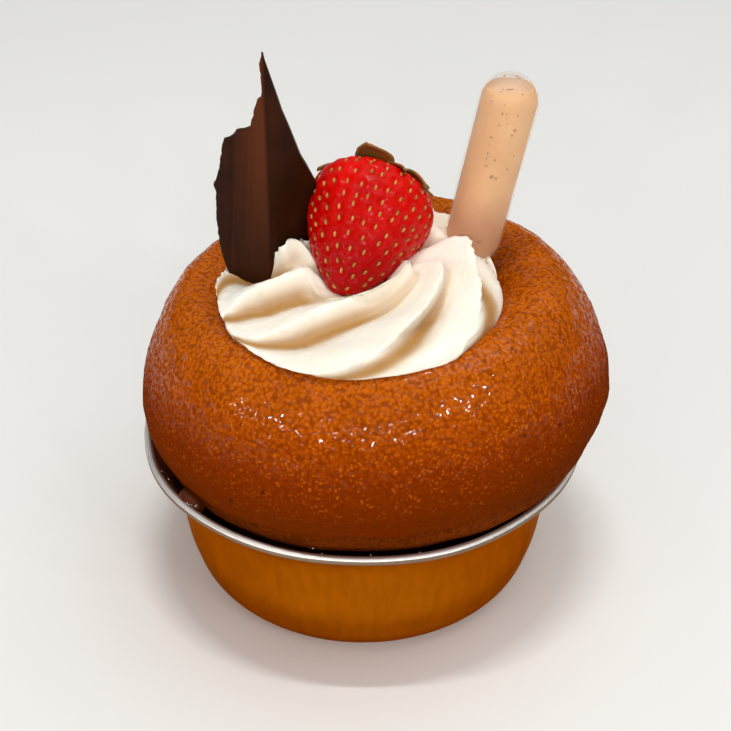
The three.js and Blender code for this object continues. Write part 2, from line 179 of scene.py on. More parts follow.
def arc(centre: Span, radius: float, start: float, end: float, count: int) -> Outline:
    """Puts points on an arc.

    Args:
        centre: The arc's centre as (radius from the axis, height).
        radius: The arc's radius.
        start: The first point's angle in degrees, 0 being outwards and 90 up.
        end: The last point's angle.
        count: The number of stretches.

    Returns:
        count + 1 points.
    """
    angles = (math.radians(start + (end - start) * i / count) for i in range(count + 1))
    return [(centre[0] + radius * math.cos(a), centre[1] + radius * math.sin(a)) for a in angles]


def polar(ring: float, angle: float, height: float) -> Vector:
    """Gives the place on a ring round +Z, at an angle in radians from +X."""
    return Vector((ring * math.cos(angle), ring * math.sin(angle), height))


# ---------------------------------------------------------------- meshes
def spun(outline: Outline, steps: int) -> Mesh:
    """Spins an outline once round +Z into a closed skin.

    Args:
        outline: Points as (radius, height), from the underside's axis point to the top's.
        steps: The number of steps in the turn.

    Returns:
        The skin, with its poles merged and its faces pointing out.
    """
    mesh = bmesh.new()
    verts = [mesh.verts.new((radius, 0, height)) for radius, height in outline]
    edges = [mesh.edges.new(pair) for pair in zip(verts, verts[1:])]
    turn = {"cent": (0, 0, 0), "axis": (0, 0, 1), "angle": math.tau, "steps": steps}
    bmesh.ops.spin(mesh, geom=verts + edges, use_merge=True, **turn)
    bmesh.ops.remove_doubles(mesh, verts=mesh.verts, dist=1e-7)
    bmesh.ops.recalc_face_normals(mesh, faces=mesh.faces)
    return mesh


def reshape(mesh: Mesh, move: Move) -> None:
    """Moves every vertex of a mesh by a rule."""
    for vert in mesh.verts:
        vert.co = move(vert.co)


def lumpy(place: Vector, size: float, shift: Triple = (0, 0, 0)) -> float:
    """Gives soft noise from -1 to 1 whose lumps have a size."""
    return noise.noise(place / size + Vector(shift))


def roughen(mesh: Mesh, depth: Callable[[Vector], float]) -> None:
    """Moves every vertex along its normal.

    Args:
        mesh: The mesh.
        depth: How far a vertex at a place moves outwards.
    """
    mesh.normal_update()
    shifts = [vert.normal * depth(vert.co) for vert in mesh.verts]
    for vert, shift in zip(mesh.verts, shifts):
        vert.co += shift


def frame_along(origin: Vector, direction: Vector) -> Matrix:
    """Builds a frame whose +Z points along a direction and whose +Y points as far up as it can.

    Args:
        origin: The frame's origin.
        direction: Where its +Z points.

    Returns:
        The frame's matrix.
    """
    z = direction.normalized()
    y = (Vector((0, 0, 1)) - z * z.z).normalized()
    x = y.cross(z)
    return Matrix.Translation(origin) @ Matrix((x, y, z)).transposed().to_4x4()


def ball(mesh: Mesh, place: Matrix, size: Sequence[float], fineness: int = 2) -> None:
    """Adds a ball to a mesh.

    Args:
        mesh: The mesh.
        place: The ball's own frame, with its centre at the origin.
        size: Its half widths along the frame's axes.
        fineness: Its levels of subdivision.
    """
    sized = place @ Matrix.Diagonal((*size, 1))
    bmesh.ops.create_icosphere(mesh, subdivisions=fineness, radius=1, matrix=sized)


def join_into(target: Mesh, piece: Mesh, place: Matrix) -> None:
    """Adds a placed copy of one mesh to another and frees the first.

    Args:
        target: The mesh that grows.
        piece: The mesh that is copied and then freed.
        place: The copy's place.
    """
    bmesh.ops.transform(piece, matrix=place, verts=piece.verts)
    scratch = bpy.data.meshes.new("scratch")
    piece.to_mesh(scratch)
    piece.free()
    target.from_mesh(scratch)
    bpy.data.meshes.remove(scratch)


# ---------------------------------------------------------------- shader nodes
class Graph:
    """Adds nodes to one node tree and joins them."""

    def __init__(self, tree: bpy.types.NodeTree) -> None:
        """Keeps the tree."""
        self.tree = tree

    def add(self, kind: str, inputs: dict | None = None, **settings: object) -> bpy.types.Node:
        """Adds one node.

        Args:
            kind: The node's type, without its ShaderNode prefix.
            inputs: Values or sockets for its inputs, by name or number.
            settings: The node's own properties.

        Returns:
            The node.
        """
        node = self.tree.nodes.new("ShaderNode" + kind)
        for name, value in settings.items():
            setattr(node, name, value)
        self.fill(node, inputs or {})
        return node

    def fill(self, node: bpy.types.Node, inputs: dict) -> None:
        """Feeds several inputs of a node, by name or number."""
        for name, value in inputs.items():
            self.feed(node.inputs[name], value)

    def feed(self, socket: Socket, value: object) -> None:
        """Sets an input's value, or links it when the value is another node's output.

        Args:
            socket: The input.
            value: A plain value or another node's output.
        """
        if isinstance(value, Socket):
            self.tree.links.new(value, socket)
        elif isinstance(value, tuple) and len(value) == 3 and socket.type == "RGBA":
            socket.default_value = (*value, 1)
        else:
            socket.default_value = value

    def mix(self, share: object, first: object, second: object) -> Socket:
        """Mixes two colours, values or sockets, by the second one's share."""
        return self.add("Mix", {0: share, 6: first, 7: second}, data_type="RGBA").outputs[2]

    def ramp(self, value: Socket, low: float, high: float, to: Span = (0, 1)) -> Socket:
        """Maps a value's range from low to high to another, held at both ends."""
        sizes = {"Value": value, "From Min": low, "From Max": high, "To Min": to[0], "To Max": to[1]}
        return self.add("MapRange", sizes).outputs["Result"]

    def times(self, first: object, second: object) -> Socket:
        """Multiplies two values."""
        return self.add("Math", {0: first, 1: second}, operation="MULTIPLY").outputs[0]

    def vector(self, operation: str, first: object, second: object) -> bpy.types.NodeOutputs:
        """Joins two vectors by an operation and gives its outputs."""
        return self.add("VectorMath", {0: first, 1: second}, operation=operation).outputs

    def axis(self, name: str, vector: Socket) -> Socket:
        """Takes one axis of a vector."""
        return self.add("SeparateXYZ", {0: vector}).outputs[name]

    def noise(self, coords: object, scale: object, detail: object) -> Socket:
        """Places a noise texture and gives its value."""
        return self.add("TexNoise", {"Vector": coords, "Scale": scale, "Detail": detail}).outputs["Fac"]

    def place(self, origin: Sequence[float] = (0, 0, 0), turn: Sequence[float] = (0, 0, 0)) -> Socket:
        """Gives the object's coordinates in a frame with an origin and a rotation."""
        frame = {"Vector": self.add("TexCoord").outputs["Object"], "Location": origin, "Rotation": turn}
        return self.add("Mapping", frame, vector_type="TEXTURE").outputs[0]

    def bump(self, height: object, strength: float, distance: float) -> Socket:
        """Gives a normal that a height roughens."""
        return self.add("Bump", {"Height": height, "Strength": strength, "Distance": distance}).outputs[0]


class Effect:
    """A node group that several finishes share. Each kind is built once."""

    built: dict[str, bpy.types.NodeTree] = {}

    def __init__(self, name: str, inputs: dict[str, float | None], outputs: Sequence[str]) -> None:
        """Makes the group's sockets.

        Args:
            name: The group's name.
            inputs: Its inputs and their defaults. None makes a vector, a number a value.
            outputs: Its outputs, all values.
        """
        self.tree = bpy.data.node_groups.new(name, "ShaderNodeTree")
        for label, default in inputs.items():
            kind = "NodeSocketVector" if default is None else "NodeSocketFloat"
            socket = self.tree.interface.new_socket(label, in_out="INPUT", socket_type=kind)
            if default is not None:
                socket.default_value = default
        for label in outputs:
            self.tree.interface.new_socket(label, in_out="OUTPUT", socket_type="NodeSocketFloat")
        self.graph = Graph(self.tree)
        self.source = self.tree.nodes.new("NodeGroupInput").outputs
        self.result = self.tree.nodes.new("NodeGroupOutput").inputs
        Effect.built[name] = self.tree

    @staticmethod
    def use(graph: Graph, name: str, maker: Callable[[str], None], **values: object) -> bpy.types.NodeOutputs:
        """Places an effect in a material.

        Args:
            graph: The material's graph.
            name: The effect's name.
            maker: What builds the effect the first time.
            values: Values or sockets for its inputs.

        Returns:
            The group's outputs.
        """
        if name not in Effect.built:
            maker(name)
        return graph.add("Group", values, node_tree=Effect.built[name]).outputs


def make_mottle(name: str) -> None:
    """Builds patches of uneven colour: a mask of noise between two levels.

    Args:
        name: The node group's name.
    """
    inputs = {"Vector": None, "Scale": 100.0, "Detail": 3.0, "Low": 0.35, "High": 0.65}
    effect = Effect(name, inputs, ["Mask"])
    graph, source = effect.graph, effect.source
    spots = graph.noise(source["Vector"], source["Scale"], source["Detail"])
    graph.feed(effect.result["Mask"], graph.ramp(spots, source["Low"], source["High"]))


def make_grains(name: str) -> None:
    """Builds a pebbly skin: rounded grains that bulge between fine creases.

    Args:
        name: The node group's name.
    """
    effect = Effect(name, {"Vector": None, "Scale": 1200.0, "Warp": 0.25}, ["Height", "Grain"])
    graph, source = effect.graph, effect.source
    wobble = graph.add("TexNoise", {"Vector": source["Vector"], "Scale": 420.0, "Detail": 2.0})
    shift = graph.vector("SUBTRACT", wobble.outputs["Color"], (0.5, 0.5, 0.5))[0]
    spread = graph.times(source["Warp"], 6 * MM)
    bent = graph.add("VectorMath", {0: shift, "Scale": spread}, operation="SCALE").outputs[0]
    coords = graph.vector("ADD", source["Vector"], bent)[0]
    grains = {"Vector": coords, "Scale": source["Scale"], "Smoothness": 0.6}
    cells = graph.add("TexVoronoi", grains, feature="SMOOTH_F1")
    bulge = graph.ramp(cells.outputs["Distance"], 0.15, 0.75, (1, 0))
    fine = graph.noise(source["Vector"], 2600.0, 1.0)
    height = graph.add("Math", {0: fine, 1: 0.35, 2: bulge}, operation="MULTIPLY_ADD")
    graph.feed(effect.result["Height"], height.outputs[0])
    graph.feed(effect.result["Grain"], bulge)


def make_brushing(name: str) -> None:
    """Builds fine lines that run along the vector's third axis.

    Args:
        name: The node group's name.
    """
    effect = Effect(name, {"Vector": None, "Scale": 900.0, "Stretch": 0.03}, ["Mask"])
    graph, source = effect.graph, effect.source
    parts = graph.add("SeparateXYZ", {0: source["Vector"]}).outputs
    along = graph.times(parts["Z"], source["Stretch"])
    drawn = graph.add("CombineXYZ", {0: parts["X"], 1: parts["Y"], 2: along}).outputs[0]
    lines = graph.noise(drawn, source["Scale"], 3.0)
    graph.feed(effect.result["Mask"], graph.ramp(lines, 0.3, 0.7))


def mottle(graph: Graph, coords: Socket, scale: float, **levels: float) -> Socket:
    """Places the patches in a material and gives their mask."""
    return Effect.use(graph, "mottle", make_mottle, Vector=coords, Scale=scale, **levels)["Mask"]


def brushing(graph: Graph, coords: Socket, scale: float, **levels: float) -> Socket:
    """Places the fine lines in a material and gives their mask."""
    return Effect.use(graph, "brushing", make_brushing, Vector=coords, Scale=scale, **levels)["Mask"]


@dataclass(frozen=True)
class Finish:
    """A named surface. Each kind builds its own node tree, with noise scales per metre."""

    name: str

    def material(self) -> bpy.types.Material:
        """Builds the material.

        Returns:
            The material, with its surface built.
        """
        material = bpy.data.materials.new(self.name)
        material.use_nodes = True
        graph = Graph(material.node_tree)
        shader = next(node for node in material.node_tree.nodes if node.type == "BSDF_PRINCIPLED")
        graph.fill(shader, self.surface(graph))
        return material

    def surface(self, graph: Graph) -> Inputs:
        """Adds the finish's nodes and gives the Principled shader's inputs by name."""
        raise NotImplementedError


@dataclass(frozen=True)
class CrustFinish(Finish):
    """Baked crust that shines with syrup: light grains over darker creases, with painted shade on its lower
    sides and painted light towards its top.
    """

    grain: Colour
    crease: Colour
    # glow: the light dots' colour, and also painted light on the upper dome, partly the crust's own tone
    glow: Colour
    # low: painted shade on the lower sides, where less light falls
    low: Colour
    pit: Colour
    origin: Vector
    lean: float
    grain_size: float = 0.75 * MM
    relief: float = 0.14 * MM
    gloss: float = 1.0
    patch_scale: float = 75.0
    freckle_scale: float = 420.0
    pit_scale: float = 95.0
    film_scale: float = 1000.0
    # heights in the cake's frame over which the crust turns from its low colour, painted shade, to grain,
    # turns to glow, painted light on the upper dome, gets its light dots and gets its film of syrup
    painted_low_shade_rise: Span = (7 * MM, 24 * MM)
    painted_top_light_rise: Span = (16 * MM, 34 * MM)
    dotting: Span = (6 * MM, 20 * MM)
    wetting: Span = (14 * MM, 28 * MM)

    def tone(self, graph: Graph, coords: Socket, grain: Socket, patches: Socket) -> Socket:
        """Mixes the crust's colour, with painted shade low down and painted light towards the top.

        Args:
            graph: The material's graph.
            coords: The coordinates in the cake's frame.
            grain: How far each point lies up its grain, from 0 to 1.
            patches: The mask of its darker patches.

        Returns:
            The colour's socket.
        """
        height = graph.axis("Z", coords)
        # painted shade low down, then painted light towards the top
        risen = graph.mix(graph.ramp(height, *self.painted_low_shade_rise), self.low, self.grain)
        toned = graph.mix(graph.ramp(height, *self.painted_top_light_rise), risen, self.glow)
        patchy = graph.mix(graph.times(patches, 0.22), toned, self.crease)
        grained = graph.mix(graph.ramp(grain, 0, 0.7, (0.35, 1)), self.crease, patchy)
        freckles = mottle(graph, coords, self.freckle_scale, Low=0.4, High=0.62)
        dots = graph.times(graph.ramp(grain, 0.6, 0.95), freckles)
        faded = graph.times(dots, graph.ramp(height, *self.dotting, (0.15, 1)))
        dotted = graph.mix(graph.times(faded, 0.85), grained, self.glow)
        holes = graph.add("TexVoronoi", {"Vector": coords, "Scale": self.pit_scale}).outputs["Distance"]
        return graph.mix(graph.ramp(holes, 0.035, 0.06, (0.75, 0)), dotted, self.pit)

    def surface(self, graph: Graph) -> Inputs:
        """Gives the shader's inputs.

        Args:
            graph: The material's node graph.

        Returns:
            The shader's inputs by name.
        """
        coords = graph.place(self.origin, (0, self.lean, 0))
        skin = Effect.use(graph, "grains", make_grains, Vector=coords, Scale=1 / self.grain_size)
        patches = mottle(graph, coords, self.patch_scale)
        film = mottle(graph, coords, self.film_scale, Detail=2.0, Low=0.5, High=0.56)
        wetness = graph.ramp(film, 0, 1, (0.08 * self.gloss, 0.9 * self.gloss))
        upward = graph.ramp(graph.axis("Z", coords), *self.wetting, (0.04, 1))
        return {
            "Base Color": self.tone(graph, coords, skin["Grain"], patches),
            "Roughness": graph.ramp(patches, 0, 1, (0.24, 0.42)),
            "Specular IOR Level": 0.0,
            "Coat IOR": 1.45,
            "Coat Weight": graph.times(wetness, upward),
            "Coat Roughness": 0.06,
            "Normal": graph.bump(skin["Height"], 0.75, self.relief),
        }


@dataclass(frozen=True)
class FoilFinish(Finish):
    """Thin pressed foil with upright brushing."""

    colour: Colour
    shade: Colour
    edge: Colour
    roughness: float
    brushing: float = 0.5
    line_scale: float = 650.0
    dull_scale: float = 60.0

    def surface(self, graph: Graph) -> Inputs:
        """Gives the shader's inputs.

        Args:
            graph: The material's node graph.

        Returns:
            The shader's inputs by name.
        """
        coords = graph.place()
        lines = brushing(graph, coords, self.line_scale)
        dull = mottle(graph, coords, self.dull_scale)
        return {
            "Base Color": graph.mix(graph.times(lines, self.brushing), self.colour, self.shade),
            "Metallic": 1.0,
            "Specular Tint": self.edge,
            "Roughness": graph.ramp(dull, 0, 1, (self.roughness, self.roughness + 0.12)),
            "Normal": graph.bump(lines, 0.12, 0.1 * MM),
        }


@dataclass(frozen=True)
class CreamFinish(Finish):
    """Whipped cream: soft, faintly grainy, with painted shade in its folds."""

    colour: Colour
    warm: Colour
    # deep: painted shade in the valleys between the ridges
    deep: Colour
    cloud_scale: float = 90.0
    froth_scale: float = 1300.0

    def surface(self, graph: Graph) -> Inputs:
        """Gives the shader's inputs.

        Args:
            graph: The material's node graph.

        Returns:
            The shader's inputs by name.
        """
        coords = graph.place()
        share = graph.times(mottle(graph, coords, self.cloud_scale), 0.5)
        pale = graph.mix(share, self.colour, self.warm)
        # painted shade: the attribute darkens the valleys towards the deep colour
        fold = graph.add("Attribute", attribute_name=PAINTED_SHADE_ATTRIBUTE).outputs["Fac"]
        return {
            "Base Color": graph.mix(graph.ramp(fold, 0.1, 0.95), pale, self.deep),
            "Roughness": 0.5,
            "Specular IOR Level": 0.3,
            "Subsurface Weight": 0.2,
            "Subsurface Radius": (1.0, 0.75, 0.45),
            "Subsurface Scale": 1.6 * MM,
            "Normal": graph.bump(graph.noise(coords, self.froth_scale, 3.0), 0.6, 0.2 * MM),
        }


@dataclass(frozen=True)
class BerryFinish(Finish):
    """Ripe berry skin, brighter at the shoulder and darker towards the tip."""

    bright: Colour
    deep: Colour
    tip: Vector
    direction: Vector
    length: float
    patch_scale: float = 130.0
    skin_scale: float = 1400.0

    def surface(self, graph: Graph) -> Inputs:
        """Gives the shader's inputs.

        Args:
            graph: The material's node graph.

        Returns:
            The shader's inputs by name.
        """
        coords = graph.place()
        away = graph.vector("SUBTRACT", coords, self.tip)[0]
        along = graph.vector("DOT_PRODUCT", away, self.direction)["Value"]
        # lighter towards the stalk, darker towards the tip
        stalkward_share = graph.ramp(along, 0.1 * self.length, 0.95 * self.length)
        toned = graph.mix(stalkward_share, self.deep, self.bright)
        share = graph.times(mottle(graph, coords, self.patch_scale), 0.6)
        return {
            "Base Color": graph.mix(share, toned, self.deep),
            "Roughness": 0.3,
            "Specular IOR Level": 0.04,
            "Coat IOR": 1.36,
            "Coat Weight": 0.3,
            "Coat Roughness": 0.1,
            "Normal": graph.bump(graph.noise(coords, self.skin_scale, 2.0), 0.25, 0.12 * MM),
        }


@dataclass(frozen=True)
class DryFinish(Finish):
    """A plain plant surface of two mottled tones, for leaves and seeds."""

    colour: Colour
    shade: Colour
    patch_size: float
    roughness: float = 0.55
    vein_scale: float = 2200.0
    relief: float = 0.15 * MM

    def surface(self, graph: Graph) -> Inputs:
        """Gives the shader's inputs.

        Args:
            graph: The material's node graph.

        Returns:
            The shader's inputs by name.
        """
        coords = graph.place()
        patches = mottle(graph, coords, 1 / self.patch_size)
        rough = graph.ramp(patches, 0, 1, (self.roughness, self.roughness + 0.15))
        return {
            "Base Color": graph.mix(patches, self.colour, self.shade),
            "Roughness": rough,
            "Normal": graph.bump(graph.noise(coords, self.vein_scale, 2.0), 0.4, self.relief),
        }


@dataclass(frozen=True)
class ChocolateFinish(Finish):
    """Dark tempered chocolate with scraped streaks and a painted sheen: a paler band beside its fold,
    stronger towards the top.
    """

    colour: Colour
    streak: Colour
    # painted sheen: the paler colour beside the fold
    painted_sheen: Colour
    fold: Vector
    roughness: float = 0.34
    line_scale: float = 420.0
    patch_scale: float = 110.0
    # the painted sheen's left edge, its right edge and its rise, each from nothing to full, from the fold's
    # foot
    painted_sheen_left: Span = (-6.5 * MM, -1.2 * MM)
    painted_sheen_right: Span = (0.2 * MM, 0.9 * MM)
    painted_sheen_rise: Span = (12 * MM, 42 * MM)

    def surface(self, graph: Graph) -> Inputs:
        """Gives the shader's inputs.

        Args:
            graph: The material's node graph.

        Returns:
            The shader's inputs by name.
        """
        coords = graph.place()
        lines = brushing(graph, coords, self.line_scale, Stretch=0.08)
        both = graph.times(lines, mottle(graph, coords, self.patch_scale))
        streaked = graph.mix(both, self.colour, self.streak)
        # painted sheen: a paler band left of the fold, stronger towards the top
        parts = graph.add("SeparateXYZ", {0: graph.place(self.fold)}).outputs
        right = graph.ramp(parts["X"], *self.painted_sheen_right, (1, 0))
        beside = graph.times(graph.ramp(parts["X"], *self.painted_sheen_left), right)
        painted_sheen_share = graph.times(beside, graph.ramp(parts["Z"], *self.painted_sheen_rise, (0.15, 1)))
        return {
            "Base Color": graph.mix(painted_sheen_share, streaked, self.painted_sheen),
            "Specular IOR Level": 0.07,
            "Roughness": graph.ramp(both, 0, 1, (self.roughness, self.roughness + 0.2)),
            "Normal": graph.bump(lines, 0.3, 0.12 * MM),
        }


@dataclass(frozen=True)
class ClearFinish(Finish):
    """Something that light passes through: plastic, rum or syrup. It may have painted shade round one place.
    """

    colour: Colour
    cloud: Colour
    clearness: float
    roughness: float
    index: float
    body: float = 1.0
    # painted shade: where the colour darkens, how dark and how far
    painted_shade_centre: Vector | None = None
    painted_shade_tone: Colour = (0, 0, 0)
    painted_shade_reach: Span = (3 * MM, 9.5 * MM)
    haze_scale: float = 120.0

    def surface(self, graph: Graph) -> Inputs:
        """Gives the shader's inputs.

        Args:
            graph: The material's node graph.

        Returns:
            The shader's inputs by name.
        """
        coords = graph.place()
        haze = mottle(graph, coords, self.haze_scale)
        colour = graph.mix(haze, self.colour, self.cloud)
        # painted shade round one place
        if self.painted_shade_centre is not None:
            away = graph.vector("DISTANCE", coords, self.painted_shade_centre)["Value"]
            colour = graph.mix(graph.ramp(away, *self.painted_shade_reach, (0.9, 0)), colour, self.painted_shade_tone)
        return {
            "Base Color": colour,
            "Roughness": graph.ramp(haze, 0, 1, (self.roughness, self.roughness + 0.06)),
            "Transmission Weight": self.clearness,
            "IOR": self.index,
            "Alpha": self.body,
        }


@dataclass(frozen=True)
class FloorFinish(Finish):
    """A plain pale floor, faintly clouded."""

    colour: Colour
    cloud_scale: float = 3.0
    cloud_shade: float = 0.985

    def surface(self, graph: Graph) -> Inputs:
        """Gives the shader's inputs.

        Args:
            graph: The material's node graph.

        Returns:
            The shader's inputs by name.
        """
        cloud = mottle(graph, graph.place(), self.cloud_scale)
        darker = tuple(self.cloud_shade * channel for channel in self.colour)
        tone = graph.mix(cloud, self.colour, darker)
        return {"Base Color": tone, "Roughness": 0.9, "Specular IOR Level": 0.1}


# ---------------------------------------------------------------- pieces
def show(name: str, mesh: Mesh, finishes: Sequence[Finish], replaces: Sequence[str] = ()) -> None:
    """Makes a finished mesh a piece of the object.

    Args:
        name: The piece's name.
        mesh: Its mesh in the model's frame, which is freed.
        finishes: Its finishes, in the order that its faces number them.
        replaces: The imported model's nodes that it stands for.
    """
    data = bpy.data.meshes.new(name)
    mesh.to_mesh(data)
    mesh.free()
    data.shade_smooth()
    for finish in finishes:
        data.materials.append(finish.material())
    piece = bpy.data.objects.new(name, data)
    bpy.context.scene.collection.objects.link(piece)
    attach(piece, "root")
    if replaces:
        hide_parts(*replaces)
    LOG.info("%s: %d faces", name, len(data.polygons))


# ---------------------------------------------------------------- foil cup
@dataclass
class FoilCup:
    """The shallow foil cup with its rolled rim."""

    rim_radius: float = 48 * MM
    height: float = 35.8 * MM
    base_radius: float = 30.2 * MM
    foil: float = 0.3 * MM
    bead: float = 0.9 * MM
    rim_width: float = 2.2 * MM
    sway: float = 0.12 * MM
    drawn_in: float = 0.13 * MM
    steps: int = 200

    gold = FoilFinish("gold_foil", srgb(190, 106, 12), srgb(160, 82, 5), (0.46, 0.32, 0.14), 0.36)
    silver = FoilFinish("silver_foil", srgb(255, 253, 250), srgb(240, 236, 230), (1, 1, 1), 0.45, 0.3)
    # painted shade: a darker grey-brown copy of the silver for the rim's underside
    painted_rim_shade = FoilFinish("rim_underside_painted_shade", srgb(150, 130, 112), srgb(118, 98, 82), (0.7, 0.6, 0.5), 0.4, 0.3)
    # the inside is syrup-brown foil, made much lighter as painted light for the shaded gap under the cake
    inside = FoilFinish("syrup_wet_foil_painted_light", srgb(240, 170, 104), srgb(200, 128, 66), (0.8, 0.5, 0.2), 0.5)

    def wall(self) -> Outline:
        """Gives the outer wall from the base's edge to the rim's underside.

        Returns:
            Points of radius and height.
        """
        base, top = self.base_radius, self.height
        corners = [
            (base, 0), (base + 2.6 * MM, 0.6 * MM), (base + 5.2 * MM, 2.2 * MM),
            (base + 7.4 * MM, 5 * MM), (base + 8.6 * MM, 8.6 * MM), (base + 9.7 * MM, 13 * MM),
            (base + 10.8 * MM, 20.5 * MM), (base + 12.6 * MM, top - 7.6 * MM),
            (base + 15.2 * MM, top - 2 * MM),
        ]
        return curve_through(corners, 44)

    def outline(self) -> Outline:
        """Gives the whole section: base, wall, rolled rim, inner wall and floor.

        Returns:
            Points of radius and height.
        """
        wall = self.wall()
        floor = [(self.base_radius * i / 6, 0.0) for i in range(6)]
        roll = arc((self.rim_radius - self.bead, self.height - self.bead), self.bead, -80, 175, 14)
        inner = [(radius - self.foil, height + 0.3 * self.foil) for radius, height in reversed(wall)]
        deck = [(radius, height + self.foil) for radius, height in reversed(floor)]
        return [*floor, *wall, *roll, *inner, *deck]

    def dress(self, mesh: Mesh) -> None:
        """Numbers the faces: 0 gold outside, 1 silver rim, 2 wet inside, partly painted light, 3 the rim's
        underside in painted shade.

        Args:
            mesh: The cup's mesh.
        """
        for face in mesh.faces:
            centre, normal = face.calc_center_median(), face.normal
            outward = normal.x * centre.x + normal.y * centre.y
            on_rim = math.hypot(centre.x, centre.y) > self.rim_radius - self.rim_width
            if centre.z > self.height - 2.1 * self.bead and on_rim:
                # the rim's downward faces get the painted shade
                face.material_index = 1 if normal.z > 0.4 else 3
            elif outward < 0 or normal.z > 0.5:
                face.material_index = 2

    def build(self) -> None:
        """Builds and shows the cup."""
        mesh = spun(self.outline(), self.steps)
        self.dress(mesh)

        def waver(place: Vector) -> Vector:
            """Hand-made foil is never quite round above its base.

            Args:
                place: A place on the mesh.

            Returns:
                Where it goes.
            """
            turn = math.atan2(place.y, place.x)
            loose = smoothstep(6 * MM, self.height, place.z)
            wave = math.sin(5 * turn + 1) + math.sin(9 * turn)
            shift = loose * (self.sway * wave - self.drawn_in)
            share = 1 + shift / max(math.hypot(place.x, place.y), 1e-6)
            return Vector((place.x * share, place.y * share, place.z))

        reshape(mesh, waver)
        finishes = (self.gold, self.silver, self.inside, self.painted_rim_shade)
        show("foil_cup_shell", mesh, finishes, ["foil_cup"])


